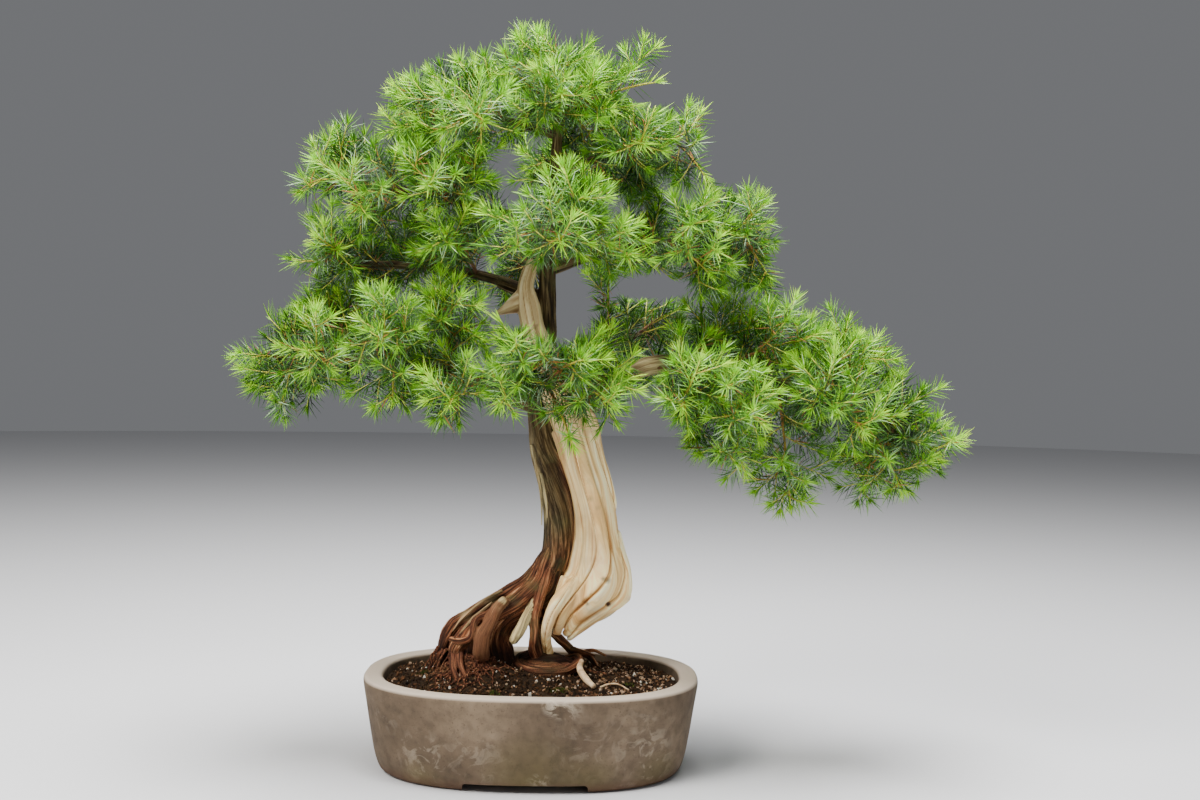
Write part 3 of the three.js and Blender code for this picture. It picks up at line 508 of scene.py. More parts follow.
class Finish:
    """A procedural material, wired node by node."""

    def __init__(self, name, roughness, specular=0.5):
        self.material = bpy.data.materials.new(name)
        self.material.use_nodes = True
        self.nodes = self.material.node_tree.nodes
        self.links = self.material.node_tree.links
        self.shader = self.nodes["Principled BSDF"]
        self.shader.inputs["Roughness"].default_value = roughness
        self.shader.inputs["Specular IOR Level"].default_value = specular

    def put(self, socket, value):
        if isinstance(value, bpy.types.NodeSocket):
            self.links.new(value, socket)
        elif value is not None:
            socket.default_value = value

    def place(self, source="object", scale=(1, 1, 1)):
        """Coordinates to paint by: the object's own, in metres, or a stored attribute."""
        if source == "object":
            start = self.nodes.new("ShaderNodeTexCoord").outputs["Object"]
        else:
            attribute = self.nodes.new("ShaderNodeAttribute")
            attribute.attribute_name = source
            start = attribute.outputs["Vector"]
        mapping = self.nodes.new("ShaderNodeMapping")
        mapping.inputs["Scale"].default_value = scale
        self.links.new(start, mapping.inputs["Vector"])
        return mapping.outputs["Vector"]

    def value(self, name):
        attribute = self.nodes.new("ShaderNodeAttribute")
        attribute.attribute_name = name
        return attribute.outputs["Fac"]

    def split(self, vector):
        node = self.nodes.new("ShaderNodeSeparateXYZ")
        self.links.new(vector, node.inputs[0])
        return node.outputs

    def noise(self, vector, scale, detail=3.0, roughness=0.5, distortion=0.0):
        node = self.nodes.new("ShaderNodeTexNoise")
        self.put(node.inputs["Vector"], vector)
        node.inputs["Scale"].default_value = scale
        node.inputs["Detail"].default_value = detail
        node.inputs["Roughness"].default_value = roughness
        node.inputs["Distortion"].default_value = distortion
        return node.outputs["Fac"]

    def ramp(self, factor, *stops):
        """A colour, or a share, that changes over the stops (place, colour or number)."""
        node = self.nodes.new("ShaderNodeValToRGB")
        self.put(node.inputs["Fac"], factor)
        elements = node.color_ramp.elements
        while len(elements) < len(stops):
            elements.new(0.5)
        for element, (place, colour) in zip(elements, stops):
            element.position = place
            element.color = colour if isinstance(colour, tuple) else (colour,) * 3 + (1.0,)
        return node.outputs["Color"]

    def mix(self, factor, first, second, how="MIX"):
        node = self.nodes.new("ShaderNodeMix")
        node.data_type = "RGBA"
        node.blend_type = how
        self.put(node.inputs[0], factor)
        self.put(node.inputs[6], first)
        self.put(node.inputs[7], second)
        return node.outputs[2]

    def math(self, operation, first, second=None, clamp=False):
        node = self.nodes.new("ShaderNodeMath")
        node.operation = operation
        node.use_clamp = clamp
        self.put(node.inputs[0], first)
        if second is not None:
            self.put(node.inputs[1], second)
        return node.outputs[0]

    def above(self, height, start, rate):
        """0 up to a height in metres, growing from there to 1 at a rate a metre."""
        return self.math("MULTIPLY", self.math("SUBTRACT", height, start), rate, clamp=True)

    def near(self, spot, radius, scale=(1, 1, 1)):
        """1 at a spot of the finished object, fading to 0 a radius away from it."""
        node = self.nodes.new("ShaderNodeVectorMath")
        node.operation = "DISTANCE"
        self.links.new(self.place("object", scale), node.inputs[0])
        node.inputs[1].default_value = (TO_PLACE @ Vector(spot)) * Vector(scale)
        share = self.math("DIVIDE", node.outputs["Value"], radius / 1000)
        return self.math("SUBTRACT", 1.0, share, clamp=True)

    def done(self, colour, height=None, strength=0.5, distance=0.001):
        self.put(self.shader.inputs["Base Color"], colour)
        if height is not None:
            bump = self.nodes.new("ShaderNodeBump")
            bump.inputs["Strength"].default_value = strength
            bump.inputs["Distance"].default_value = distance
            self.links.new(height, bump.inputs["Height"])
            self.links.new(bump.outputs["Normal"], self.shader.inputs["Normal"])
        return self.material


# Heights in metres where a finish starts to change, and how fast it changes a metre
GREY_BARK = (0.172, 24)
# The deadwood turns darker and greyer above this height, up under the foliage
GREYER_WOOD_ABOVE = (0.235, 9)
# The top of the pot's lip gets a painted highlight above this height
LIP_HIGHLIGHT = (0.0793, 380)
# The side of the deadwood that carries its knots lies before this depth, in millimetres
KNOT_DEPTH = 6


def bark_finish():
    """Fibrous bark: grey-brown above, red-brown with pale streaks low down, painted shade in its furrows
    and painted highlights on its ridges.
    """
    bark = Finish("bark", 0.85, 0.25)
    coarse = bark.noise(bark.place("grain", (0.45, 0.45, 0.022)), 1.0, 4, 0.6, 0.4)
    fine = bark.noise(bark.place("grain", (1.6, 1.6, 0.1)), 1.0, 4, 0.65)
    patches = bark.noise(bark.place("object"), 42, 3)
    upper = bark.ramp(
        coarse, (0.32, paint(36, 28, 16)), (0.5, paint(78, 63, 40)), (0.66, paint(132, 114, 78))
    )
    lower = bark.ramp(
        coarse, (0.34, paint(32, 18, 12)), (0.48, paint(84, 50, 33)), (0.58, paint(136, 84, 54)),
        (0.68, paint(208, 156, 112)),
    )
    height = bark.split(bark.place("object"))[2]
    colour = bark.mix(bark.above(height, *GREY_BARK), lower, upper)
    colour = bark.mix(bark.ramp(patches, (0.5, 0.0), (0.66, 0.4)), colour, paint(92, 96, 60))
    red = bark.ramp(
        coarse, (0.35, paint(42, 22, 15)), (0.5, paint(84, 47, 33)), (0.68, paint(160, 104, 74))
    )
    colour = bark.mix(bark.value("red"), colour, red)
    bare = bark.ramp(coarse, (0.32, paint(142, 112, 70)), (0.6, paint(222, 204, 150)))
    colour = bark.mix(bark.value("bare"), colour, bare)
    # Painted shade darkens the furrows and painted highlights lighten the ridges, by the relief
    furrow_shade_and_ridge_highlight = bark.ramp(bark.value("relief"), (0.0, 0.1), (0.4, 0.7), (0.7, 1.05), (1.0, 1.45))
    colour = bark.mix(1.0, colour, furrow_shade_and_ridge_highlight, "MULTIPLY")
    worn = bark.ramp(fine, (0.3, paint(78, 48, 32)), (0.65, paint(142, 98, 68)))
    colour = bark.mix(bark.value("worn"), colour, worn)
    # Painted shadow: the root feet darken near the soil, as the shade under the roots' overhang
    colour = bark.mix(bark.value("shadow_and_damp"), colour, paint(34, 22, 16))
    return bark.done(colour, fine, 0.8, 0.0009)


def bleached_finish():
    """Bare, weathered wood: cream, with long tan streaks, painted shade in its hollows, painted
    highlights on its ridges and a few dark knots.
    """
    wood = Finish("bleached_wood", 0.6, 0.3)
    streaks = wood.noise(wood.place("grain", (0.22, 0.22, 0.008)), 1.0, 5, 0.6, 0.25)
    fine = wood.noise(wood.place("grain", (1.3, 1.3, 0.035)), 1.0, 4, 0.6)
    patches = wood.noise(wood.place("object"), 26, 3)
    colour = wood.ramp(
        streaks, (0.3, paint(180, 130, 72)), (0.43, paint(230, 188, 122)),
        (0.54, paint(255, 228, 166)), (0.66, paint(255, 250, 208)),
    )
    stain = wood.ramp(patches, (0.48, 0.0), (0.7, 0.6))
    colour = wood.mix(stain, colour, paint(186, 148, 110))
    colour = wood.mix(wood.ramp(fine, (0.34, 0.22), (0.46, 0.0)), colour, paint(160, 116, 74))
    # Painted shade darkens the hollows and painted highlights lighten the ridges, by the relief
    hollow_shade_and_ridge_highlight = wood.ramp(
        wood.value("relief"), (0.0, paint(146, 114, 84)), (0.32, paint(212, 188, 160)),
        (0.58, 1.02), (1.0, 1.3),
    )
    colour = wood.mix(1.0, colour, hollow_shade_and_ridge_highlight, "MULTIPLY")
    _, depth, height = wood.split(wood.place("object"))
    # Darker and greyer towards the top
    greying = wood.above(height, *GREYER_WOOD_ABOVE)
    greyed = wood.ramp(streaks, (0.35, paint(112, 94, 66)), (0.65, paint(190, 172, 130)))
    colour = wood.mix(wood.math("MULTIPLY", greying, 0.62), colour, greyed)
    front = wood.math("LESS_THAN", depth, (TO_PLACE @ Vector((0, KNOT_DEPTH, 0))).y)
    for x, z, radius, _, darkness in KNOTS:
        spot = wood.math("MULTIPLY", wood.near((x, 0, z), 1.7 * radius, (1, 0, 1)), 1.6 * darkness)
        spot = wood.math("MULTIPLY", spot, wood.ramp(fine, (0.3, 1.0), (0.7, 0.6)))
        colour = wood.mix(wood.math("MULTIPLY", spot, front, clamp=True), colour, paint(70, 46, 32))
    return wood.done(colour, fine, 0.45, 0.0006)


# Marks on the pot's face: (x, y, z, radius, strength)
LIME_MARKS = [
    (26, -111, 78, 14, 1.9), (38, -110, 76, 12, 0.9), (-84, -86, 28, 30, 0.8),
    (96, -82, 50, 36, 0.5), (100, -76, 24, 36, 0.8), (-112, -66, 60, 26, 0.5),
    (12, -103, 7, 13, 1.6), (-40, -106, 30, 34, 0.4), (50, -106, 40, 40, 0.3),
]
ALGAE_MARKS = [
    (8, -102, 10, 50, 1.0), (-84, -78, 8, 26, 0.8), (106, -66, 10, 30, 0.8), (54, -98, 9, 30, 0.7),
]


def add_marks(clay, colour, marks, texture, tint):
    """Stains of one tint, each of them broken up by a texture."""
    for *spot, radius, share in marks:
        stain = clay.math("MULTIPLY", clay.near(spot, radius), texture)
        colour = clay.mix(clay.math("MULTIPLY", stain, share), colour, tint)
    return colour


def stoneware_finish():
    """Unglazed grey-brown clay with a mottled, gritty face, lime and green stains, a painted highlight
    on its lip and a darker foot."""
    clay = Finish("stoneware", 0.8, 0.25)
    where = clay.place("object")
    cloud = clay.noise(where, 14, 4, 0.55)
    mottle = clay.noise(where, 110, 4, 0.6)
    grit = clay.noise(where, 900, 2, 0.6)
    colour = clay.ramp(
        cloud, (0.3, paint(76, 64, 51)), (0.5, paint(94, 80, 65)), (0.7, paint(118, 102, 84))
    )
    mottled = clay.ramp(mottle, (0.35, 0.82), (0.5, 1.0), (0.68, 1.12))
    colour = clay.mix(1.0, colour, mottled, "MULTIPLY")
    specks = clay.ramp(clay.noise(where, 420, 2, 0.7), (0.3, 0.45), (0.4, 0.0))
    colour = clay.mix(specks, colour, paint(70, 56, 44))
    wisps = clay.ramp(clay.noise(where, 55, 5, 0.6, 1.6), (0.5, 0.0), (0.6, 0.6), (0.7, 0.2))
    colour = add_marks(clay, colour, LIME_MARKS, wisps, paint(182, 168, 148))
    film = clay.ramp(cloud, (0.35, 0.3), (0.65, 0.9))
    colour = add_marks(clay, colour, ALGAE_MARKS, film, paint(96, 88, 50))
    height = clay.split(where)[2]
    # Painted highlight: the top of the lip is lightened, as the light from above falls on it
    lip = clay.above(height, *LIP_HIGHLIGHT)
    colour = clay.mix(lip, colour, clay.mix(0.85, colour, paint(210, 193, 174)))
    foot = clay.math("SUBTRACT", 1.0, clay.math("MULTIPLY", height, 90), clamp=True)
    colour = clay.mix(clay.math("MULTIPLY", foot, 0.5), colour, paint(98, 64, 48))
    return clay.done(colour, grit, 0.35, 0.0005)


def grit_finish():
    """Soil grains: dark and red-brown grit, some tan, a few white ones of pumice."""
    grit = Finish("soil_grains", 0.9, 0.2)
    colour = grit.ramp(
        grit.value("kind"), (0.0, paint(30, 21, 15)), (0.35, paint(62, 46, 30)),
        (0.58, paint(98, 66, 44)), (0.76, paint(148, 112, 82)), (0.9, paint(196, 166, 138)),
        (1.0, paint(232, 224, 208)),
    )
    where = grit.place("object")
    speckle = grit.ramp(grit.noise(where, 700, 3), (0.3, 0.6), (0.7, 1.25))
    colour = grit.mix(1.0, colour, speckle, "MULTIPLY")
    shadow_and_damp = grit.ramp(grit.noise(where, 36, 2), (0.4, 0.78), (0.6, 1.0))
    colour = grit.mix(1.0, colour, shadow_and_damp, "MULTIPLY")
    return grit.done(colour, grit.noise(where, 1500, 2), 0.5, 0.0004)


def moss_finish():
    moss = Finish("moss", 0.85, 0.15)
    kind = moss.value("kind")
    return moss.done(moss.ramp(
        kind, (0.0, paint(34, 42, 18)), (0.6, paint(62, 76, 28)), (1.0, paint(104, 112, 50))
    ))


def stick_finish():
    stick = Finish("pale_stick", 0.75, 0.3)
    streaks = stick.noise(stick.place("object"), 160, 4)
    colour = stick.ramp(streaks, (0.35, paint(186, 146, 106)), (0.6, paint(236, 208, 168)))
    return stick.done(colour, streaks, 0.3, 0.0005)


def needle_finish():
    """Needles: green, yellow-green where young, some with a silvery band on the upper face, with painted
    shade deep in the crown and painted light on its outside.
    """
    leaf = Finish("needles", 0.55, 0.2)
    youth = leaf.value("youth")
    shade = leaf.value("shade")
    along = leaf.nodes.new("ShaderNodeUVMap")
    along.uv_map = "needle"
    across, length, _ = leaf.split(along.outputs["UV"])
    old = leaf.ramp(
        shade, (0.0, paint(14, 34, 10)), (0.35, paint(42, 90, 18)), (0.65, paint(90, 152, 28)),
        (1.0, paint(152, 208, 48)),
    )
    young = leaf.ramp(
        shade, (0.0, paint(106, 180, 24)), (0.6, paint(168, 228, 38)), (1.0, paint(216, 250, 74))
    )
    colour = leaf.mix(youth, old, young)
    band = leaf.math("LESS_THAN", leaf.math("ABSOLUTE", across), 0.6)
    ends = leaf.ramp(length, (0.1, 0.0), (0.3, 1.0), (0.7, 1.0), (0.95, 0.0))
    band = leaf.math("MULTIPLY", band, ends)
    band = leaf.math("MULTIPLY", band, leaf.value("silver"))
    colour = leaf.mix(band, colour, paint(180, 208, 168))
    colour = leaf.mix(leaf.ramp(length, (0.0, 0.5), (0.2, 0.0)), colour, paint(160, 178, 76))
    colour = leaf.mix(leaf.value("dead"), colour, paint(156, 104, 60))
    return leaf.done(colour)


def twig_finish():
    """Shoots: yellow-tan where new, orange-brown in between, grey-brown where old."""
    twig = Finish("twigs", 0.7, 0.3)
    streak = twig.noise(twig.place("object"), 320, 3)
    colour = twig.ramp(
        twig.value("youth"), (0.0, paint(76, 52, 36)), (0.3, paint(140, 98, 52)),
        (0.55, paint(196, 176, 70)), (1.0, paint(206, 216, 90)),
    )
    colour = twig.mix(1.0, colour, twig.ramp(streak, (0.3, 0.7), (0.65, 1.15)), "MULTIPLY")
    return twig.done(colour, streak, 0.4, 0.0004)


# Pot

def oval(half_length, half_width, corners):
    """An oval between an ellipse and a box, as points in the plane."""
    angles = np.arange(corners) / corners * TAU
    return np.stack([half_length * rounded(np.cos(angles)), half_width * rounded(np.sin(angles))], -1)


def rounded(value):
    return np.sign(value) * np.abs(value) ** (2 / POT_CORNER)


# Rows of the pot's wall, from the foot up, over the lip and down inside: (inset, height)
POT_WALL = [
    (18.5, 0), (16.6, 0.9), (14.6, 3), (13, 6), (11, 12), (9.4, 19), (8, 27), (6.4, 36), (4.7, 47),
    (3, 58), (1.6, 66.5), (0.6, 73), (0.1, 76.5), (0, 78.6), (0.25, 80.2), (0.9, 81.3), (2.2, 82),
    (5, 82), (9, 82), (12.5, 82), (15.2, 81.8), (16.6, 81), (17.4, 79.6), (17.8, 77), (18.4, 68),
    (19, 60), (22, 42), (26, 24), (29, 17), (33, POT_FLOOR),
]


# How far the tool that cuts the foot gap reaches below the foot, and how its edges are rounded
GAP_CUT_REACH = 20
GAP_CUT_EXTRA = 2
GAP_ROUNDING = 2.2
DRAIN_CUT_LENGTH = 40
# The hand-made unevenness of the pot's faces, in millimetres
POT_WOBBLE = 0.25
POT_RIPPLE = 0.1


def extrude_ring(scale_x, scale_y, rise):
    bpy.ops.mesh.extrude_region_move(TRANSFORM_OT_translate={"value": (0, 0, rise)})
    bpy.ops.transform.resize(value=(scale_x, scale_y, 1))


def add_cutter(name, location, size, slope):
    """A block whose top is narrower than its foot by a slope on its two long sides."""
    bpy.ops.mesh.primitive_cube_add(size=1, location=location)
    block = bpy.context.object
    block.name = name
    block.scale = size
    bpy.ops.object.transform_apply(location=False, rotation=False, scale=True)
    for vertex in block.data.vertices:
        if vertex.co.z > 0:
            vertex.co.x -= math.copysign(slope, vertex.co.x)
    bevel = block.modifiers.new("round", "BEVEL")
    bevel.width = GAP_ROUNDING
    bevel.segments = 4
    bpy.ops.object.modifier_apply(modifier=bevel.name)
    return block


def cut(piece, tool):
    """Cuts a tool's shape out of a piece and removes the tool."""
    only(piece)
    boolean = piece.modifiers.new("cut", "BOOLEAN")
    boolean.operation = "DIFFERENCE"
    boolean.solver = "EXACT"
    boolean.object = tool
    bpy.ops.object.modifier_apply(modifier=boolean.name)
    bpy.data.objects.remove(tool)


def make_pot():
    bpy.ops.mesh.primitive_circle_add(vertices=POT_SIDES, radius=1, fill_type="NGON")
    pot = bpy.context.object
    pot.name = "stoneware_pot"
    inset, height = POT_WALL[0]
    outline = oval(POT_LENGTH / 2 - inset, POT_WIDTH / 2 - inset, POT_SIDES)
    for vertex, place in zip(pot.data.vertices, outline):
        vertex.co = (place[0], place[1], height)
    bpy.ops.object.mode_set(mode="EDIT")
    bpy.ops.mesh.select_all(action="SELECT")
    for next_inset, next_height in POT_WALL[1:]:
        extrude_ring(
            (POT_LENGTH / 2 - next_inset) / (POT_LENGTH / 2 - inset),
            (POT_WIDTH / 2 - next_inset) / (POT_WIDTH / 2 - inset),
            next_height - height,
        )
        inset, height = next_inset, next_height
    bpy.ops.mesh.select_all(action="SELECT")
    bpy.ops.mesh.normals_make_consistent(inside=False)
    bpy.ops.object.mode_set(mode="OBJECT")
    gap_middle = (FOOT_GAP_HEIGHT - GAP_CUT_REACH) / 2
    gap_size = (FOOT_GAP_LENGTH + GAP_CUT_EXTRA, POT_LENGTH, FOOT_GAP_HEIGHT + GAP_CUT_REACH)
    cut(pot, add_cutter("gap", (0, 0, gap_middle), gap_size, FOOT_GAP_SLOPE))
    for side in (-1, 1):
        bpy.ops.mesh.primitive_cylinder_add(
            vertices=40, radius=DRAIN_RADIUS, depth=DRAIN_CUT_LENGTH,
            location=(side * DRAIN_SPACING / 2, 0, POT_FLOOR),
        )
        cut(pot, bpy.context.object)
    places = points_of(pot)
    height = places[:, 2]
    wobble = POT_WOBBLE * noise_at(places, 0.018) + POT_RIPPLE * noise_at(places, 0.09, 7)
    wobble *= np.clip((height - 2) / 6, 0, 1) * np.clip((POT_HEIGHT - height) / 3, 0.2, 1)
    push_out(pot, wobble)
    only(pot)
    bpy.ops.object.shade_smooth_by_angle(angle=math.radians(32))
    pot.data.materials.append(stoneware_finish())
    finish_piece(pot, "stoneware", "pot")


# Soil

SOIL_EDGE = 73
SOIL_INSET = POT_LIP + 2.4
SOIL_RINGS = 40
SOIL_SIDES = 110
SOIL_CLEARANCE = 0.4
# Rows of the soil's side, against the pot's wall: (inset, height)
SOIL_WALL = [(33, POT_FLOOR + 0.3), (26, 24), (20.5, 60)]
# Heaps of the soil, and a dip: (x, y, length, width, rise)
SOIL_HEAPS = [
    (-18, 8, 85, 62, 13), (-50, -8, 36, 32, 11), (-61, -24, 24, 16, 8), (-12, 0, 15, 16, -4),
]
# The reddish mound of rotted bark at the left foot: (x, y, half length, half width)
RED_MOUND = (-62, -18, 34, 26)
GRAINS = 5200
GRAIN_SINK = 0.15
WHITE_GRAINS = 0.02
SOIL_SEED = 41


def soil_height(x, y):
    lumps = np.sin(x * 0.31 + 1) * np.cos(y * 0.27) + np.sin(x * 0.13 - y * 0.19)
    height = SOIL_EDGE + 0.7 * lumps
    for heap_x, heap_y, length, width, rise in SOIL_HEAPS:
        away = np.hypot((x - heap_x) / length, (y - heap_y) / width)
        height = height + rise * np.exp(-away ** 2)
    return height


def mound_share(x, y):
    """How far out of the middle of the red mound places lie, 1 at its edge."""
    middle_x, middle_y, half_length, half_width = RED_MOUND
    return np.hypot((x - middle_x) / half_length, (y - middle_y) / half_width)


def model_spindle(ring, tips):
    """A ring of points with a fan of triangles on either side of it, each drawn out to a tip."""
    bpy.ops.object.select_all(action="DESELECT")
    fans = []
    for tip in tips:
        bpy.ops.mesh.primitive_circle_add(vertices=len(ring), fill_type="TRIFAN")
        fans.append(bpy.context.object)
        rim = iter(ring)
        for vertex in fans[-1].data.vertices:
            vertex.co = next(rim) if vertex.co.length > 0.5 else tip
    for fan in fans:
        fan.select_set(True)
    bpy.ops.object.join()
    spindle = bpy.context.object
    bpy.ops.object.mode_set(mode="EDIT")
    bpy.ops.mesh.select_all(action="SELECT")
    bpy.ops.mesh.remove_doubles(threshold=0.001)
    bpy.ops.mesh.normals_make_consistent(inside=False)
    bpy.ops.object.mode_set(mode="OBJECT")
    points = points_of(spindle)
    faces = np.array([list(face.vertices) for face in spindle.data.polygons])
    bpy.data.objects.remove(spindle)
    return points, faces


def turns(rng, count):
    """Random turns, as rotation matrices."""
    w, x, y, z = unit(rng.normal(size=(count, 4))).T
    rows = [
        [1 - 2 * (y * y + z * z), 2 * (x * y - w * z), 2 * (x * z + w * y)],
        [2 * (x * y + w * z), 1 - 2 * (x * x + z * z), 2 * (y * z - w * x)],
        [2 * (x * z - w * y), 2 * (y * z + w * x), 1 - 2 * (x * x + y * y)],
    ]
    return np.array(rows).transpose(2, 0, 1)


def stamp(points, faces, count, place):
    """Copies of a shape, each laid by place(points) -> (count, points, 3), as one mesh."""
    placed = place(np.broadcast_to(points, (count,) + points.shape))
    starts = (np.arange(count) * len(points))[:, None, None]
    return placed.reshape(-1, 3), (faces[None] + starts).reshape(-1, 3)


def soil_bed():
    """The filled inside of the pot, with an uneven top."""
    rings = []
    for inset, height in SOIL_WALL:
        half_length = POT_LENGTH / 2 - inset - SOIL_CLEARANCE
        half_width = POT_WIDTH / 2 - inset - SOIL_CLEARANCE
        ring = oval(half_length, half_width, SOIL_SIDES)
        rings.append(np.column_stack([ring, np.full(SOIL_SIDES, height)]))
    half_length, half_width = POT_LENGTH / 2 - SOIL_INSET, POT_WIDTH / 2 - SOIL_INSET
    for share in np.linspace(1, 0.012, SOIL_RINGS):
        ring = oval(half_length * share, half_width * share, SOIL_SIDES)
        rings.append(np.column_stack([ring, soil_height(ring[:, 0], ring[:, 1])]))
    points = np.vstack(rings)
    top = points[len(SOIL_WALL) * SOIL_SIDES:]
    top[:, 2] += 0.8 * noise_at(top, (0.25, 0.25, 0)) + 0.5 * noise_at(top, (0.6, 0.6, 0), 5) - 0.6
    around = np.arange(SOIL_SIDES)
    last = len(points) - SOIL_SIDES + around
    bottom = np.stack([np.full(SOIL_SIDES, len(points)), np.roll(around, -1), around], -1)
    crown = np.stack([np.full(SOIL_SIDES, len(points) + 1), last, np.roll(last, -1)], -1)
    middles = [points[:SOIL_SIDES].mean(axis=0), points[-SOIL_SIDES:].mean(axis=0)]
    walls = wall_faces(len(rings), SOIL_SIDES)
    return np.vstack([points, middles]), np.vstack([walls, bottom, crown])


def make_soil():
    """The soil's bed with loose grains scattered over its top."""
    rng = np.random.default_rng(SOIL_SEED)
    bed = soil_bed()
    angle = rng.uniform(0, TAU, GRAINS)
    share = np.sqrt(rng.uniform(0, 1, GRAINS))
    x = (POT_LENGTH / 2 - SOIL_INSET - 1) * share * rounded(np.cos(angle))
    y = (POT_WIDTH / 2 - SOIL_INSET - 1) * share * rounded(np.sin(angle))
    size = rng.uniform(0.8, 1.6, GRAINS) + 1.3 * rng.random(GRAINS) ** 3
    squash = rng.uniform(0.6, 1.15, (GRAINS, 3)) * size[:, None]
    spin = turns(rng, GRAINS)
    corners = [(1, 0, 0.1), (0, 0.9, -0.15), (-1, 0, 0.1), (0, -0.9, -0.1)]
    shape, faces = model_spindle(corners, [(0.2, 0, 0.9), (-0.1, 0.1, -0.9)])
    crumple = rng.uniform(0.7, 1.25, (GRAINS, len(shape), 1))
    centre = np.stack([x, y, soil_height(x, y) + GRAIN_SINK * size], -1)

    def place(points):
        return np.einsum("nij,nvj->nvi", spin, points * crumple * squash[:, None]) + centre[:, None]

    grains = stamp(shape, faces, GRAINS, place)
    soil = mesh_object("soil_grit", *stack([bed, grains]), smooth=False)
    kind = rng.beta(1.4, 2.0, GRAINS) * 0.8
    tan_share = np.interp(x, (-120, 20, 110), (0.04, 0.1, 0.3))
    kind = np.where(rng.random(GRAINS) < tan_share, rng.uniform(0.72, 0.92, GRAINS), kind)
    kind = np.where(rng.random(GRAINS) < WHITE_GRAINS, 1.0, kind)
    on_mound = mound_share(x, y) < rng.uniform(0.5, 1.1, GRAINS)
    kind = np.where(on_mound, rng.uniform(0.42, 0.68, GRAINS), kind)
    bed_kind = 0.08 + 0.26 * rng.random(len(bed[0]))
    bed_kind = np.where(mound_share(bed[0][:, 0], bed[0][:, 1]) < 0.8, 0.42, bed_kind)
    add_attribute(soil, "kind", np.concatenate([bed_kind, np.repeat(kind, len(shape))]))
    soil.data.materials.append(grit_finish())
    finish_piece(soil, "soil", "soil")


# Where fine roots lie bare on the soil: (x, y, spread, count)
ROOTLETS = [(-62, -26, 19, 80), (-38, -28, 13, 24), (50, 20, 13, 18), (8, 30, 26, 14)]
# How high a fine root bows over the soil along its length
ROOTLET_BOW = np.array([-0.6, 0.8, 1.5, 1.3, 0.6, -0.8])
# Fine roots that hang from the thick ones to the soil: (x, y, z) of their tops
HANGING_ROOTS = [
    (-84, -5, 104), (-80, -8, 102), (-76, -12, 103), (-72, -16, 101), (-66, -18, 100),
    (-58, -20, 101), (-52, -18, 100), (-47, -26, 98), (-41, -24, 97), (-86, 0, 101),
    (-34, -10, 95), (-28, -10, 92),
]
HANGING_EACH = 3
ROOTLET_STEP = 2.5
ROOTLET_SIDES = 6
ROOTLET_SEED = 47


def rootlet_arrays(flat, height, radii):
    stations = np.column_stack([flat, height, radii]).tolist()
    return limb_arrays({"stations": stations}, ROOTLET_STEP, ROOTLET_SIDES)


def make_rootlets(finish):
    """Fine roots that wind over the soil, and others that hang down to it."""
    rng = np.random.default_rng(ROOTLET_SEED)
    parts = []
    for x, y, spread, count in ROOTLETS:
        for _ in range(count):
            start = np.array([x, y]) + rng.normal(0, spread / 2, 2)
            turn = rng.uniform(0, TAU) + np.cumsum(rng.normal(0, 0.5, 5))
            steps = np.stack([np.cos(turn), np.sin(turn)], -1) * rng.uniform(3, 5.5)
            flat = np.vstack([start, start + np.cumsum(steps, axis=0)])
            height = soil_height(flat[:, 0], flat[:, 1]) + ROOTLET_BOW
            radii = np.linspace(rng.uniform(0.6, 1.1), 0.3, len(flat))
            parts.append(rootlet_arrays(flat, height, radii))
    for x, y, z in HANGING_ROOTS:
        for _ in range(HANGING_EACH):
            out = np.array([x, y - 1]) * rng.uniform(0.0, 0.14) + rng.normal(0, 3.5, 2) + (0, -5)
            share = np.linspace(0, 1, 5)[:, None]
            flat = np.array([x, y]) + share * out + rng.normal(0, 0.7, (5, 2))
            ground = soil_height(*flat[-1]) - 1
            height = z + (ground - z) * share[:, 0] ** 1.4
            radii = np.linspace(rng.uniform(0.7, 1.3), 0.4, len(flat))
            parts.append(rootlet_arrays(flat, height, radii))
    rootlets = mesh_object("rootlets", *stack(parts))
    places = points_of(rootlets)
    add_attribute(rootlets, "grain", places)
    for name, value in (("relief", 0.6), ("red", 0.8)):
        add_attribute(rootlets, name, np.full(len(places), value))
    rootlets.data.materials.append(finish)
    finish_piece(rootlets, "bark")


# Cushions of moss: (x, y, radius, blades)
MOSS_PATCHES = [
    (26, -54, 12, 260), (-30, -66, 7, 90), (88, -20, 6, 60), (-96, -10, 8, 110),
    (30, 62, 12, 200),
]
MOSS_HEIGHT = 2.6
MOSS_SINK = 0.6
MOSS_SEED = 43
MOSS_BLADE = np.array([(-0.35, 0, 0), (0.35, 0, 0), (0, 0.3, 0), (0, 0, 1)])
MOSS_FACES = np.array([(0, 2, 1), (0, 1, 3), (1, 2, 3), (2, 0, 3)])


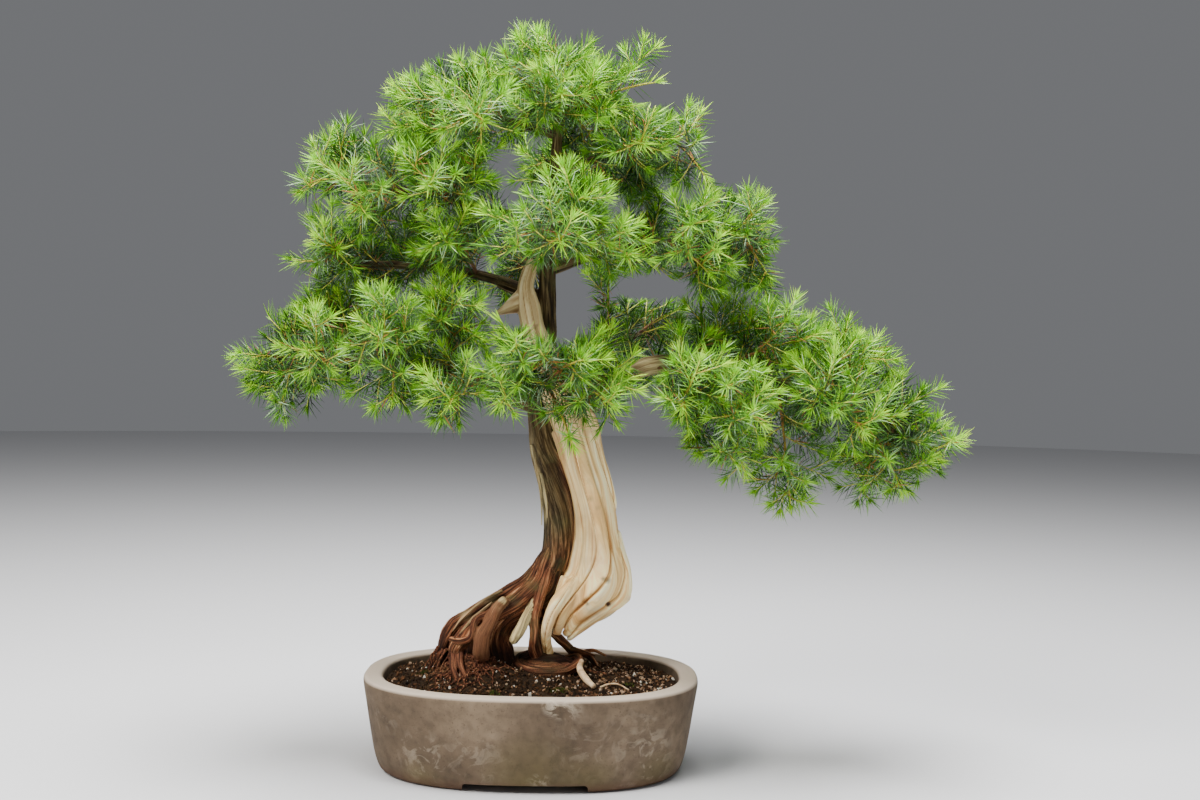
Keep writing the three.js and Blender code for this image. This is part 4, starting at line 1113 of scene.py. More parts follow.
def make_moss():
    """Low cushions of moss: many short, leaning blades."""
    rng = np.random.default_rng(MOSS_SEED)
    roots, heights = [], []
    for x, y, radius, count in MOSS_PATCHES:
        spread = rng.normal(0, radius / 2, (count, 2))
        roots.append(np.column_stack([x + spread[:, 0], y + spread[:, 1] * 0.6]))
        fall = np.exp(-(spread ** 2).sum(axis=1) / radius ** 2)
        heights.append(MOSS_HEIGHT * fall * rng.uniform(0.6, 1.2, count) + 0.8)
    root, tall = np.vstack(roots), np.concatenate(heights)
    count = len(root)
    spin = rng.uniform(0, TAU, (count, 1))
    lean = rng.normal(0, 0.5, (count, 2))
    ground = soil_height(root[:, :1], root[:, 1:])

    def place(points):
        x = points[..., 0] * np.cos(spin) - points[..., 1] * np.sin(spin)
        y = points[..., 0] * np.sin(spin) + points[..., 1] * np.cos(spin)
        up = points[..., 2] * tall[:, None]
        x = root[:, :1] + x + up * lean[:, :1]
        y = root[:, 1:] + y + up * lean[:, 1:]
        return np.stack([x, y, ground - MOSS_SINK + up], -1)

    moss = mesh_object("moss", *stamp(MOSS_BLADE, MOSS_FACES, count, place), smooth=False)
    add_attribute(moss, "kind", np.repeat(rng.random(count), len(MOSS_BLADE)))
    moss.data.materials.append(moss_finish())
    finish_piece(moss, "needles")


# Wood

# How red a root is, how bare of bark, and which roots get a painted shadow near the soil
RED_ROOTS = {
    "reddish": 0.35, "outer_coil": 0.3, "inner_coil": 0.3, "upper_coil": 0.5, "outer_strand": 0.5,
    "looped": 0.3, "forward": 0.9, "forward_twin": 0.9, "outer_left": 0.25,
}
BARE_ROOTS = {"stub": 1.0}
SHADED_ROOTS = ["outer_left", "front_left", "broad", "mass", "hidden", "coil_hub"]
ROOT_SHADOW_HEIGHTS = (98, 112)
# Step and corners of the tubes that are fused, and the fineness of the fused skin
LIMB_STEP = 3.0
BARK_SIDES = 20
BARK_VOXEL = 1.16
BARK_SMOOTHING = 2
DEADWOOD_SIDES = 28
DEADWOOD_VOXEL = 1.05
DEADWOOD_SMOOTHING = 3
# How far apart the grain of neighbouring limbs is taken, so that it doesn't run on over a join
GRAIN_SHIFT = 37.0
GRAIN_TWIST = 0.008
BARK_RELIEF = 1.9
# How much the roots wander off their lines, across, in depth and in height
ROOT_GNARL = (3.2, 3.2, 1.6)


def coil_stations(size, rise, foot, thinning, least, steps, start, turn):
    x, y, height = COIL_MIDDLE
    stations = []
    for step in range(steps + 1):
        angle = (start + step / steps * turn) * TAU
        stations.append((
            x + size * math.cos(angle),
            y + size * math.sin(angle),
            height + rise + COIL_TILT * math.sin(angle) - COIL_DIP * max(step + 1 - steps, 0),
            max(foot - thinning * step, least),
        ))
    return stations


def bark_relief(grain):
    """Stringy strips of bark, parted by narrow furrows, from about -1 to 1."""
    furrows = np.minimum(4.5 * np.abs(noise_at(grain, (0.22, 0.22, 0.013))), 1)
    strips = np.minimum(5 * np.abs(noise_at(grain, (0.4, 0.4, 0.025), 9)), 1)
    broad = noise_at(grain, (0.1, 0.1, 0.012), 4)
    return 0.9 * furrows + 0.55 * strips + 0.7 * broad - 0.95


# How many stations of a limb are fused with the trunk, as the collar that it grows from
LIMB_FEET = {"right": 3, "low_left": 2, "front": 2, "mid_left": 2}
LIMB_COLLAR = 0.7
# The rolled edge of the bark beside the deadwood, as (x, z) across the front
CALLUS = [(20, 283), (24, 263), (33, 236), (37, 209), (36, 182), (27, 160)]
CALLUS_WIDTH = 3.2
CALLUS_RISE = 2.4
CALLUS_DEPTH = 8
# Where the bark is worn pale: (x, y, z, radius)
PALE_SPOTS = [
    (-12, 10, 292, 7), (-7, 10, 278, 6), (-1, 10, 262, 6), (5, 8, 240, 5), (8, 8, 222, 5),
    (-27, -18, 148, 4.5), (-31, -22, 142, 3.5), (-40, 4, 144, 5), (-60, 0, 131, 5),
    (-52, -20, 138, 3),
]
LIMB_PATCH = (98, -12, 362, 15)
BRANCH_STEP = 5.0
BRANCH_SIDES = 11
BRANCH_ROUGHNESS = 0.6
SPLINTER_ROUGHNESS = 0.1
# Splinters below this height are on the roots, and less bleached
ROOT_TOP = 170


def live_limbs():
    """The trunk, the roots and the feet of the main branches, by name."""
    named = {"trunk": TRUNK}
    named.update({name: {"stations": stations} for name, stations in ROOTS.items()})
    named.update({name: {"stations": coil_stations(*row)} for name, row in ROOT_COILS.items()})
    for name, count in LIMB_FEET.items():
        feet = [(*station[:3], station[3] + LIMB_COLLAR) for station in LIMBS[name][:count]]
        named[name] = {"stations": feet}
    return named


def make_live_wood(bark):
    """Trunk and roots fused into one skin, wandering a little, with strips and furrows of bark."""
    named = live_limbs()
    parts = [limb_arrays(limb, LIMB_STEP, BARK_SIDES) for limb in named.values()]
    wood = mesh_object("live_wood_bark", *stack(parts))
    voxel_fuse(wood, BARK_VOXEL, BARK_SMOOTHING)
    places = points_of(wood)
    grain, owner = grain_of(places, list(named.values()))
    gnarl = np.interp(places[:, 2], (82, 100, 150, 200), (0.3, 1.0, 1.0, 0.2))[:, None]
    drift = np.stack([noise_at(places, 0.05, offset) for offset in (3, 17, 31)], -1)
    places += gnarl * drift * ROOT_GNARL
    move_points(wood, places)
    grain = turned(grain, GRAIN_TWIST)
    grain[:, :2] += owner[:, None] * GRAIN_SHIFT
    relief = bark_relief(grain)
    callus = Path([(x, 0, z) for x, z in CALLUS]).at(np.linspace(0, 1, 80))
    flat = places * (1, 0, 1)
    from_callus = np.linalg.norm(flat - callus[nearest(flat, callus)], axis=1)
    callus_share = np.exp(-(from_callus / CALLUS_WIDTH) ** 2) * (places[:, 1] < CALLUS_DEPTH)
    thin = np.array([min(s[3] for s in limb["stations"]) for limb in named.values()])[owner]
    smooth = np.where(owner == list(named).index("smooth"), 0.25, 1.0)
    depth = np.clip(thin / 7, 0.3, 1.0) * BARK_RELIEF * smooth
    push_out(wood, relief * depth * (1 - 0.6 * callus_share) + CALLUS_RISE * callus_share)
    red = np.array([RED_ROOTS.get(name, 0.0) for name in named])[owner]
    bare = np.array([BARE_ROOTS.get(name, 0.0) for name in named])[owner]
    is_shaded = np.isin(owner, [list(named).index(name) for name in SHADED_ROOTS])
    # Painted shadow on these roots, strongest just above the soil
    shadow_and_damp = np.interp(places[:, 2], ROOT_SHADOW_HEIGHTS, (0.85, 0.0)) * is_shaded
    for x, y, z, radius in PALE_SPOTS:
        bare = np.maximum(bare, 0.9 * near(places, (x, y, z), radius))
    add_attribute(wood, "grain", grain)
    shown = np.where(smooth < 1, 0.35, 1.0) * relief
    add_attribute(wood, "relief", np.clip(0.55 + 0.55 * shown - 0.3 * callus_share, 0, 1))
    add_attribute(wood, "red", np.maximum(red, 0.8 * callus_share))
    add_attribute(wood, "bare", bare)
    add_attribute(wood, "shadow_and_damp", shadow_and_damp)
    add_attribute(wood, "worn", np.where(smooth < 1, 0.7, 0.0) * (bare < 0.4))
    wood.data.materials.append(bark)
    finish_piece(wood, "bark", "live_wood")


def make_branches(bark):
    """Branches under their bark, and the pale splinters of bark on trunk and roots."""
    limbs = [{"stations": stations} for stations in [*LIMBS.values(), *SPLINTERS]]
    parts = [limb_arrays(limb, BRANCH_STEP, BRANCH_SIDES) for limb in limbs]
    branches = mesh_object("branches_bark", *stack(parts))
    places = points_of(branches)
    grain, owner = grain_of(places, limbs)
    rough = noise_at(grain, (0.4, 0.4, 0.06))
    is_splinter = owner >= len(LIMBS)
    push_out(branches, np.where(is_splinter, SPLINTER_ROUGHNESS, BRANCH_ROUGHNESS) * rough)
    grain[:, :2] += owner[:, None] * GRAIN_SHIFT
    add_attribute(branches, "grain", grain)
    add_attribute(branches, "relief", np.clip(0.55 + 0.6 * rough, 0, 1))
    worn = near(places, LIMB_PATCH[:3], LIMB_PATCH[3])
    bleached = np.where(places[:, 2] < ROOT_TOP, 0.35, 0.85) * is_splinter
    add_attribute(branches, "bare", np.maximum(bleached, 0.9 * worn))
    branches.data.materials.append(bark)
    finish_piece(branches, "bark")


# Lines that the deadwood's fibres follow over its front, as (x, z) from its left edge to its right
# one: the first two run out into the strand, and the last two round the lower rim
FLOW = [
    [(25, 263), (35, 235), (38, 205), (36, 179), (27, 159), (17, 141), (10, 124), (8, 108), (12, 70)],
    [(38, 253), (45, 229), (49, 206), (47, 184), (40, 166), (27, 147), (18, 132), (16, 110), (19, 70)],
    [(50, 250), (58, 220), (63, 198), (61, 181), (52, 165), (40, 150), (29, 136), (22, 118)],
    [(60, 257), (70, 229), (74, 203), (77, 184), (77, 171), (67, 155), (52, 142), (40, 131), (32, 117)],
    [(67, 256), (76, 226), (79, 194), (87, 173), (86, 150), (73, 137), (55, 126), (40, 115), (33, 108)],
]
# How far apart two of these lines are taken in the grain
FLOW_SPACING = 12
FLOW_TOP = 300
# Knots of the front: (x, z, radius, dent, darkness)
KNOTS = [
    (68, 145, 1.9, 2.6, 1.3), (49, 146, 1.6, 0.8, 0.6), (67, 168, 2.4, 0.7, 0.6),
    (63, 170, 1.8, 0.4, 0.5), (86, 149, 3.2, -1.2, 0.2), (50, 241, 2.2, 0.5, 0.25),
    (57, 233, 2.0, 0.4, 0.2), (31, 111, 4, 0, 0.3), (10, 356, 3, 2.5, 0.4),
]
DEADWOOD_RELIEF = 2.1
# Left of this the broken branch has its own grain, and above this height the wood is slender
BRANCH_GRAIN_X = -17
SLENDER_TOP = 395
# How deep the wood is let in beside the rolled edge of the bark
BARK_EDGE_DEPTH = 2.2


def flow_of(points):
    """For each point of the deadwood, how far across its fibres it lies, 0 at the left edge and 4
    at the right one, and how far along them, in millimetres."""
    column = [row for row in reversed(DEADWOOD["column"]["stations"]) if row[2] > FLOW_TOP]
    flat = points * (1, 0, 1)
    total, across, along = np.zeros((3, len(points)))
    for number, lower in enumerate(FLOW):
        side = number / 2 - 1
        upper = [(x + side * width, 0, z) for x, _, z, width, _ in column]
        line = Path(upper + [(x, 0, z) for x, z in lower]).at(np.linspace(0, 1, 240))
        here = nearest(flat, line)
        weight = (np.linalg.norm(flat - line[here], axis=1) ** 2 + 1) ** -2.0
        total += weight
        across += weight * number
        along += weight * walk(line)[here]
    return across / total, along / total


def make_deadwood():
    """The bleached side fused into one skin, with ribs and fibres along its flow."""
    limbs = list(DEADWOOD.values())
    parts = [limb_arrays(limb, LIMB_STEP, DEADWOOD_SIDES) for limb in limbs]
    wood = mesh_object("bleached_deadwood", *stack(parts))
    voxel_fuse(wood, DEADWOOD_VOXEL, DEADWOOD_SMOOTHING)
    places = points_of(wood)
    height = places[:, 2]
    branch_grain, owner = grain_of(places, limbs)
    across, along = flow_of(places)
    grain = np.stack([FLOW_SPACING * across, places[:, 1], along], -1)
    on_branch = owner == list(DEADWOOD).index("broken_branch")
    on_branch &= places[:, 0] < BRANCH_GRAIN_X
    grain[on_branch] = branch_grain[on_branch]
    wander = 0.5 * noise_at(grain, (0, 0.03, 0.01), 2)
    crests = np.cos(TAU * (grain[:, 0] / FLOW_SPACING + wander))
    crests *= np.interp(height, (120, 250, 330), (1, 0.8, 0.4))
    ribs = noise_at(grain, (0.16, 0.08, 0.007), 4)
    fibres = noise_at(grain, (0.5, 0.4, 0.012), 11)
    slim = np.where(owner == list(DEADWOOD).index("strand"), 0.35, 1.0)
    slim = np.where(height > SLENDER_TOP, 0.4, slim)
    relief = 0.6 * crests + 0.9 * ribs + 0.22 * fibres
    beside_bark = np.exp(-(across / 0.3) ** 2)
    beside_bark *= np.interp(height, (150, 180, 280, 300), (0, 1, 1, 0))
    move = DEADWOOD_RELIEF * relief * slim + 0.25 - BARK_EDGE_DEPTH * beside_bark
    is_front = places[:, 1] < KNOT_DEPTH
    for x, z, radius, dent, _ in KNOTS:
        move -= dent * near(places * (1, 0, 1), (x, 0, z), radius) * is_front
    push_out(wood, move)
    add_attribute(wood, "grain", grain)
    add_attribute(wood, "relief", np.clip(0.5 + 0.5 * relief, 0, 1))
    wood.data.materials.append(bleached_finish())
    finish_piece(wood, "bleached_wood", "deadwood")


STICK_STEP = 1.5
STICK_SIDES = 14
STICK_ROUGHNESS = 0.08


def make_sticks():
    finish = stick_finish()
    for name, stations, nodes in [
        ("loose_stick", BROKEN_STICK, ["broken_stick"]), ("fallen_stem", FALLEN_STEM, [])
    ]:
        points, faces = limb_arrays({"stations": stations}, STICK_STEP, STICK_SIDES)
        stick = mesh_object(name, points, faces)
        push_out(stick, STICK_ROUGHNESS * stations[0][3] * noise_at(points, 0.3))
        stick.data.materials.append(finish)
        finish_piece(stick, "stick", *nodes)


# Foliage

# Whorls: angles off the stem and sizes along it, from its foot to its tip, in shares of its length
WHORL_SHARES = (0, 0.3, 0.75, 1)
WHORL_ANGLES = (1.22, 1.1, 0.9, 0.62)
REACH_SHARES = (0, 0.25, 0.75, 1)
REACH_SIZES = (0.8, 1.0, 1.0, 0.76)
SILVER_SHARE = 0.16
DEAD_SHARE = 0.14
# The brush at a stem's tip: rings of needles, from the outer one in
BRUSH_RINGS = (5, 4, 3)
# Side shoots of a shoot: where they leave it, and how often they grow
SIDE_PLACES = (0.32, 0.58)
SIDE_CHANCE = 0.68
SIDE_FROM_LENGTH = 25
# Shoots of a twig: their lengths and painted shades along it, darker nearer the branch, in shares of its
# length
SHOOT_SHARES = (0.1, 0.4, 0.8, 0.95)
SHOOT_LENGTHS = (38, 42, 32, 18)
SHADE_SHARES = (0.1, 0.6, 1)
SHOOT_PAINTED_SHADES = (0.12, 0.4, 0.6)
LEAD_LENGTH = 48


def needle_marks(points, faces):
    """For each corner of each face, where it lies: across the upper face from -1 to 1, or past 1
    on the two lower ones, and along the length."""
    marks = np.empty(faces.shape + (2,))
    for number, face in enumerate(faces):
        corners = points[face]
        upper = np.cross(corners[1] - corners[0], corners[2] - corners[0])[2] > 1e-6
        marks[number, :, 0] = np.sign(np.round(corners[:, 1], 3)) if upper else 3.0
        marks[number, :, 1] = corners[:, 0]
    return marks


def wood_balls():
    """Middles and radii along the thick wood, which foliage keeps out of."""
    limbs = [TRUNK, DEADWOOD["flare"], DEADWOOD["column"], {"stations": LIMBS["right"][:5]}]
    samples = [limb_samples(limb, 8.0) for limb in limbs]
    middles = np.vstack([sample["middles"] for sample in samples])
    radii = np.concatenate([np.maximum(sample["widths"], sample["depths"]) for sample in samples])
    return middles, radii


WOOD_MIDDLES, WOOD_RADII = wood_balls()


def is_out_of_wood(points, margin):
    away = np.linalg.norm(points[:, None] - WOOD_MIDDLES[None], axis=2) - WOOD_RADII[None]
    return (away > margin).all(axis=1)


# Openings between the branches, as seen from the front: (x, z, half width, half height, furthest
# depth that is kept clear)
OPENINGS = [
    (26, 416, 15, 40, 999), (100, 431, 38, 10, 999), (101, 606, 31, 10, 999),
    (168, 545, 16, 20, 999), (235, 460, 22, 15, 999), (365, 250, 20, 14, 999),
    (-42, 292, 27, 14, 999), (-230, 473, 23, 16, 999), (-262, 402, 20, 18, 999),
    (-22, 424, 25, 31, -5), (67, 280, 18, 23, 0), (8, 284, 13, 23, 0), (97, 362, 13, 9, -8),
]


def is_in_opening(points, size):
    """Whether points lie in an opening whose outline is drawn in or let out to a size."""
    eye_x, eye_y, eye_z = CAMERA_SPOT
    nearer = -eye_y / (points[:, 1] - eye_y)
    x = eye_x + (points[:, 0] - eye_x) * nearer
    z = eye_z + (points[:, 2] - eye_z) * nearer
    inside = np.zeros(len(points), bool)
    for middle_x, middle_z, half_width, half_height, depth in OPENINGS:
        away = np.hypot((x - middle_x) / half_width, (z - middle_z) / half_height)
        inside |= (away < size) & (points[:, 1] < depth)
    return inside


def leaning(axis, tilt, roll):
    """Directions that lean off axes by tilts, turned about them by rolls."""
    axis = np.asarray(axis, float)
    side = unit(np.cross(axis, np.where(np.abs(axis[..., 2:]) < 0.85, UP, AWAY)))
    top = np.cross(side, axis)
    tilt, roll = np.asarray(tilt)[..., None], np.asarray(roll)[..., None]
    return np.cos(tilt) * axis + np.sin(tilt) * (np.cos(roll) * side + np.sin(roll) * top)


def along_line(points, shares):
    """Points at shares of a line's length, and its headings there."""
    walked = walk(points)
    walked /= walked[-1]

    def at(places):
        return np.stack([np.interp(places, walked, column) for column in points.T], -1)

    return at(shares), unit(at(np.minimum(shares + 0.05, 1)) - at(np.maximum(shares - 0.05, 0)))


class Spray:
    """The stems and needles of one spray, gathered before they become a mesh."""

    COLUMNS = ("base", "way", "axis", "size", "width", "youth", "shade", "silver", "dead")

    def __init__(self, seed):
        self.rng = np.random.default_rng(seed)
        self.stems = []
        self.stem_youth = []
        self.rows = {name: [] for name in self.COLUMNS}

    def add_stem(self, points, start_radius, end_radius, young, corners):
        """A slim tube over points, with its age from foot to tip."""
        headings = unit(np.gradient(points, axis=0))
        reference = UP if abs(headings[0][2]) < 0.85 else AWAY
        sides = carried(np.cross(headings[0], reference), headings)
        radii = np.linspace(start_radius, end_radius, len(points))
        self.stems.append(tube_arrays(points, sides, np.cross(headings, sides), radii, radii, corners))
        youth = np.linspace(young[0], young[1], len(points))
        self.stem_youth.append(np.concatenate([np.repeat(youth, corners), youth[[0, -1]]]))

    def add_rows(self, base, way, axis, size, width, youth, shade, silver, dead):
        count = way.reshape(-1, 3).shape[0]
        values = (base, way, axis, size, width, youth, shade, silver, dead)
        for name, value in zip(self.COLUMNS, values):
            wide = way.shape if name in ("base", "way", "axis") else way.shape[:-1]
            value = np.broadcast_to(value, wide)
            self.rows[name].append(value.reshape((count, 3) if len(wide) == way.ndim else count))

    def add_needles(self, points, youth, shade_and_tone, start=0.05):
        """Whorls of three along a stem, spread wide on its lower part and closing towards its tip,
        where short ones stand in a brush."""
        rng = self.rng
        length = walk(points)[-1]
        count = max(2, round(length * (1 - start) / WHORL_STEP))
        share = start + (1 - start) * (np.arange(count) + 0.5) / count
        middle, axis = along_line(points, share)
        roll = rng.uniform(0, TAU) + np.arange(count) * TAU / 6
        many = (count, 3)
        opening = np.interp(share, WHORL_SHARES, WHORL_ANGLES)[:, None]
        reach = np.interp(share, REACH_SHARES, REACH_SIZES)[:, None]
        tilt = opening + rng.normal(0, 0.1, many)
        turn = roll[:, None] + np.arange(3) * TAU / 3 + rng.normal(0, 0.13, many)
        way = unit(leaning(axis[:, None], tilt, turn) + UP * 0.05)
        size = NEEDLE_LENGTH * reach * rng.uniform(0.86, 1.06, many)
        young = (np.clip((share - 0.45) / 0.5, 0, 1) * youth)[:, None]
        # Painted shade of each needle: the shoot's, lightened towards its tip, with random tone
        shade = np.clip(shade_and_tone + rng.normal(0, 0.19, many) + 0.2 * (share[:, None] - 0.5), 0, 1)
        silver = np.where(rng.random(many) < SILVER_SHARE, 0.7, 0.1)
        dead = (rng.random(many) < DEAD_SHARE) * (share < 0.32)[:, None]
        self.add_rows(middle[:, None], way, axis[:, None], size, 1.0, young, shade, silver, dead)

        ring = np.repeat([0, 1, 2], BRUSH_RINGS)
        step = np.concatenate([
            (np.arange(count) + number % 2 / 2) / count for number, count in enumerate(BRUSH_RINGS)
        ])
        heading = unit(points[-1] - points[-2])
        tilt = np.maximum(0.5 - 0.17 * ring + rng.normal(0, 0.05, len(ring)), 0.05)
        way = leaning(np.broadcast_to(heading, (len(ring), 3)), tilt, step * TAU + roll[0])
        size = NEEDLE_LENGTH * (0.6 - 0.06 * ring) * rng.uniform(0.85, 1.15, len(ring))
        base = points[-1] - heading * (2.4 - ring[:, None])
        # The brush at the tip is painted lighter
        shade = np.clip(shade_and_tone + rng.uniform(-0.2, 0.45, len(ring)), 0, 1)
        young = min(1.0, 0.3 + 0.75 * youth)
        self.add_rows(base, way, heading, size, 0.85, young, shade, 0.05, 0.0)


def grow_shoot(spray, start, heading, length, youth, shade_and_tone, is_side=False):
    """A shoot that lifts a little on its way, with shoots of its own on its lower part."""
    rng = spray.rng
    share = np.linspace(0, 1, 4)[:, None]
    points = start + (heading * share + UP * rng.uniform(0.02, 0.2) * share ** 2) * length
    if not is_out_of_wood(points[-2:], 3).all():
        return
    if is_in_opening(points[1:], rng.uniform(0.9, 1.25)).any():
        return
    spray.add_stem(points, 0.7, 0.4, (0.45, 1.0), 3)
    spray.add_needles(points, youth, shade_and_tone)
    if is_side or length < SIDE_FROM_LENGTH:
        return
    axis = unit(points[-1] - points[0])
    roll = rng.uniform(0, TAU)
    for number, place in enumerate(SIDE_PLACES):
        if rng.random() < SIDE_CHANCE:
            way = leaning(axis, rng.uniform(0.75, 1.05), roll + number * GOLDEN_ANGLE)
            at = points[0] + (points[-1] - points[0]) * place
            side_length = length * rng.uniform(0.5, 0.7)
            side_youth = youth * rng.uniform(0.5, 1)
            grow_shoot(spray, at, way, side_length, side_youth, shade_and_tone, is_side=True)


def grow_twig(spray, start, tip, is_fork, fullness):
    """A twig that arches to its tip, its side shoots all round it, and its own leading shoot."""
    rng = spray.rng
    start, tip = np.asarray(start, float), np.asarray(tip, float)
    tip = tip - unit(tip - start) * TIP_SETBACK
    span = np.linalg.norm(tip - start)
    middle = (start + tip) / 2 + UP * TWIG_ARCH * span
    share = np.linspace(0, 1, 11)[:, None]
    points = (1 - share) ** 2 * start + 2 * share * (1 - share) * middle + share ** 2 * tip
    spray.add_stem(points, 1.4 if is_fork else 1.8, 0.7, (0.0, 0.8), 5)
    lead, _ = along_line(points, np.linspace(max(0.3, 1 - LEAD_LENGTH / span), 1, 8))
    # The leading shoot, out on the crown's face, gets a light painted shade
    spray.add_needles(lead, 1.0, 0.55, start=0.0)
    count = max(4, round(span * 0.86 * fullness / SHOOT_STEP))
    first = 0.1 if is_fork or span < 60 else 0.16
    places = first + (0.95 - first) * (np.arange(count) + rng.uniform(0.2, 0.8, count)) / count
    starts, axes = along_line(points, places)
    ways = leaning(
        axes, rng.uniform(0.72, 1.12, count),
        rng.uniform(0, TAU) + np.arange(count) * GOLDEN_ANGLE + rng.normal(0, 0.25, count),
    )
    ways = unit(ways + UP * 0.12)
    lengths = np.interp(places, SHOOT_SHARES, SHOOT_LENGTHS) * rng.uniform(0.82, 1.14, count)
    shades_and_tones = np.interp(places, SHADE_SHARES, SHOOT_PAINTED_SHADES) + rng.normal(0, 0.07, count)
    # Painted light: shoots that face up are lightened and those that face down darkened
    shades_and_tones += 0.16 * ways[:, 2]
    youths = rng.uniform(0.2, 1.0, count) * np.clip(0.85 + 0.5 * ways[:, 2], 0.3, 1.2)
    for at, way, length, shade_and_tone, youth in zip(starts, ways, lengths * fullness, shades_and_tones, youths):
        grow_shoot(spray, at, way, length, min(youth, 1.0), shade_and_tone)
    return points


# One needle along +X, 1 long and 1 wide: flat above, keeled below, widest near its foot
NEEDLE_RING = [(0.3, -0.5, 0.1), (0.3, 0.5, 0.1), (0.3, 0, -0.36)]
NEEDLE_POINTS, NEEDLE_FACES = model_spindle(NEEDLE_RING, [(0, 0, 0), (1, 0, 0.02)])
NEEDLE_MARKS = needle_marks(NEEDLE_POINTS, NEEDLE_FACES)


def spray_mesh(spray, name):
    """All needles stamped from the one that was modelled, with the stems, as one piece."""
    rows = {name: np.concatenate(parts) for name, parts in spray.rows.items()}
    ends = rows["base"] + rows["way"] * rows["size"][:, None]
    kept = is_out_of_wood(ends, 0.5) & ~is_in_opening(ends, 0.8)
    rows = {name: values[kept] for name, values in rows.items()}
    base, way = rows["base"], unit(rows["way"])
    top = unit(rows["axis"] - way * np.einsum("ij,ij->i", rows["axis"], way)[:, None])
    beside = np.cross(top, way)
    broad = NEEDLE_WIDTH * rows["width"]

    def place(points):
        long = points[..., 0, None] * (way * rows["size"][:, None])[:, None]
        wide = points[..., 1, None] * (beside * broad[:, None])[:, None]
        high = points[..., 2, None] * (top * broad[:, None])[:, None]
        return base[:, None] + long + wide + high

    blades = stamp(NEEDLE_POINTS, NEEDLE_FACES, len(base), place)
    stems = stack(spray.stems)
    points, faces = stack([stems, blades])
    is_blade = np.arange(len(faces)) >= len(stems[1])
    piece = mesh_object(name, points, faces, smooth=~is_blade)
    nothing = np.zeros(len(stems[0]))
    each = len(NEEDLE_POINTS)
    youth = np.concatenate([*spray.stem_youth, np.repeat(rows["youth"], each)])
    add_attribute(piece, "youth", youth)
    for name in ("shade", "silver", "dead"):
        add_attribute(piece, name, np.concatenate([nothing, np.repeat(rows[name], each)]))
    marks = np.zeros((len(faces), 3, 2), np.float32)
    marks[is_blade] = np.tile(NEEDLE_MARKS, (len(base), 1, 1))
    piece.data.uv_layers.new(name="needle").data.foreach_set("uv", marks.ravel())
    piece.data.polygons.foreach_set("material_index", np.where(is_blade, 0, 1).astype(np.int32))
    return piece


# Sprays with few side shoots
FULLNESS = {"front_2": 0.5}
FIRST_SPRAY_SEED = 1000
# Short shoots on the branches inside the crown
INNER_SEED = 7
INNER_STEP = 6.5
INNER_FROM = 0.3


def finish_foliage(spray, name, finishes, *nodes):
    piece = spray_mesh(spray, name)
    for finish in finishes:
        piece.data.materials.append(finish)
    finish_piece(piece, "needles", *nodes)


def make_foliage():
    finishes = [needle_finish(), twig_finish()]
    counts = {}
    for index, (limb, share, *tips) in enumerate(SPRAYS):
        counts[limb] = counts.get(limb, 0) + 1
        label = f"{limb}_{counts[limb]}"
        fullness = FULLNESS.get(label, 1.0)
        stations = TRUNK["stations"] if limb == "trunk" else LIMBS[limb]
        spray = Spray(FIRST_SPRAY_SEED + index)
        first = grow_twig(spray, Path(stations).at(share), tips[0], False, fullness)
        for tip in tips[1:]:
            fork, _ = along_line(first, np.array([FORK_PLACE]))
            grow_twig(spray, fork[0], tip, True, fullness)
        finish_foliage(spray, f"foliage_{label}", finishes, f"spray_{label}")

    spray = Spray(INNER_SEED)
    for stations in LIMBS.values():
        samples = limb_samples({"stations": stations}, INNER_STEP)
        rows = zip(samples["shares"], samples["middles"], samples["headings"])
        for number, (share, middle, heading) in enumerate(rows):
            if share > INNER_FROM:
                way = leaning(heading, spray.rng.uniform(0.9, 1.4), number * GOLDEN_ANGLE)
                length = spray.rng.uniform(26, 44)
                # Painted shade: these inner shoots are painted dark, as the shade inside the crown
                grow_shoot(spray, middle, way, length, 0.1, 0.12, is_side=True)
    finish_foliage(spray, "foliage_inner", finishes)


# Stage

CAMERA_LENS = 42.9
CAMERA_DIP = math.radians(1.42)
CAMERA_ROLL = math.radians(1.1)
FLOOR_RADIUS = 6
FLOOR_DROP = 0.0005
FLOOR_COLOUR = (0.62, 0.62, 0.63, 1)
SKY_COLOUR = (0.80, 0.82, 0.86, 1)
SKY_STRENGTH = 0.21
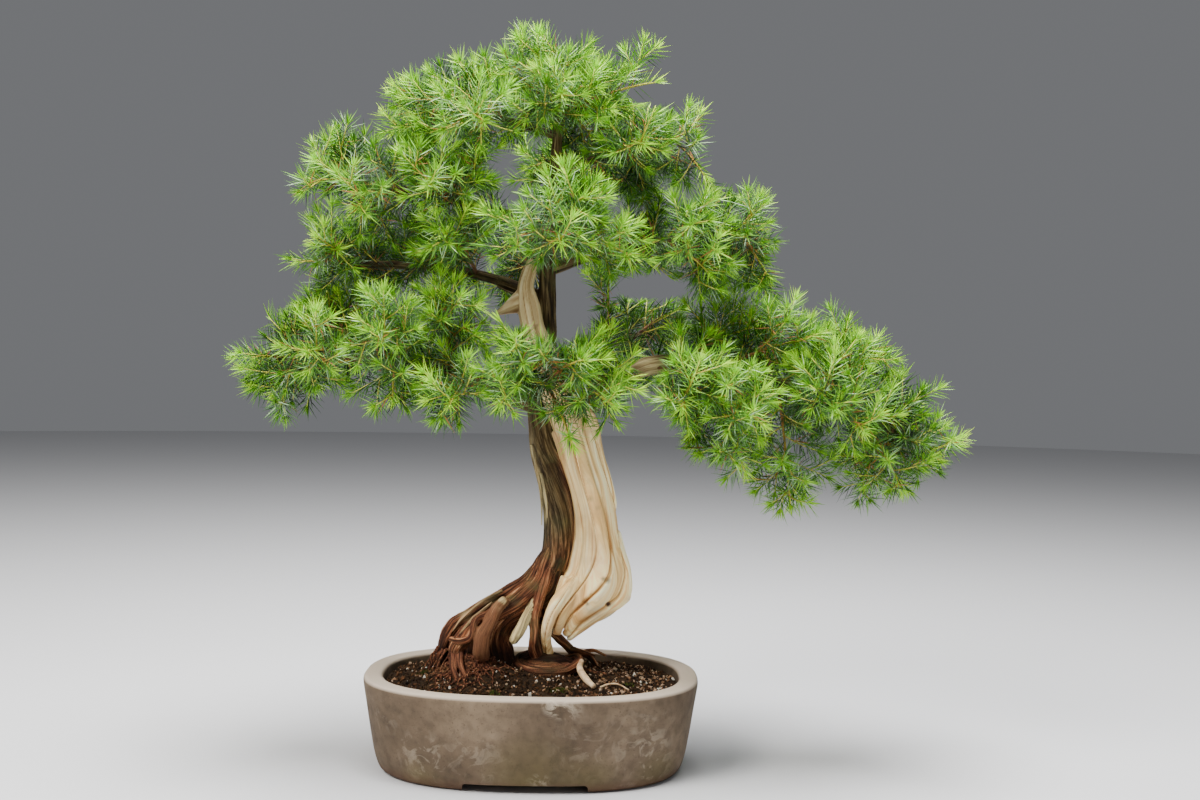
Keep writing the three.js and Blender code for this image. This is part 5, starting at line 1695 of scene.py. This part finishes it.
# Lights aim at the middle of the tree: (name, place, width, power, colour)
LIGHT_AIM = (0.0, 0.0, 0.35)
LIGHTS = [
    ("key", (-1.15, -1.1, 1.75), 1.0, 64, (1, 0.98, 0.94)),
    ("fill", (1.5, -1.4, 0.9), 1.6, 5, (0.95, 0.97, 1)),
    ("top", (0.1, -0.1, 2.0), 1.2, 112, (1, 1, 1)),
]


def make_camera():
    camera = bpy.data.objects.new("camera", bpy.data.cameras.new("camera"))
    bpy.context.scene.collection.objects.link(camera)
    camera.data.lens = CAMERA_LENS
    camera.data.sensor_width = 36
    camera.data.clip_end = 50
    spot = Matrix.Translation(TO_PLACE @ Vector(CAMERA_SPOT))
    aim = Matrix.Rotation(math.pi / 2 - CAMERA_DIP, 4, "X") @ Matrix.Rotation(CAMERA_ROLL, 4, "Z")
    camera.matrix_world = spot @ aim
    bpy.context.scene.camera = camera


def add_light(name, spot, size, power, colour):
    lamp = bpy.data.lights.new(name, "AREA")
    lamp.shape = "DISK"
    lamp.size = size
    lamp.energy = power
    lamp.color = colour
    light = bpy.data.objects.new(name, lamp)
    bpy.context.scene.collection.objects.link(light)
    light.location = spot
    light.rotation_euler = (Vector(LIGHT_AIM) - Vector(spot)).to_track_quat("-Z", "Y").to_euler()


def make_stage():
    bpy.ops.mesh.primitive_circle_add(
        vertices=96, radius=FLOOR_RADIUS, fill_type="NGON", location=(0, 0, -FLOOR_DROP)
    )
    floor = bpy.context.object
    floor.name = "floor"
    floor.data.materials.append(Finish("pale_floor", 0.9, 0.1).done(FLOOR_COLOUR))
    world = bpy.data.worlds.new("studio")
    world.use_nodes = True
    sky = world.node_tree.nodes["Background"]
    sky.inputs["Color"].default_value = SKY_COLOUR
    sky.inputs["Strength"].default_value = SKY_STRENGTH
    bpy.context.scene.world = world
    for row in LIGHTS:
        add_light(*row)


make_camera()
make_stage()
make_pot()
make_soil()
make_moss()
bark_material = bark_finish()
make_live_wood(bark_material)
make_branches(bark_material)
make_rootlets(bark_material)
make_deadwood()
make_sticks()
make_foliage()
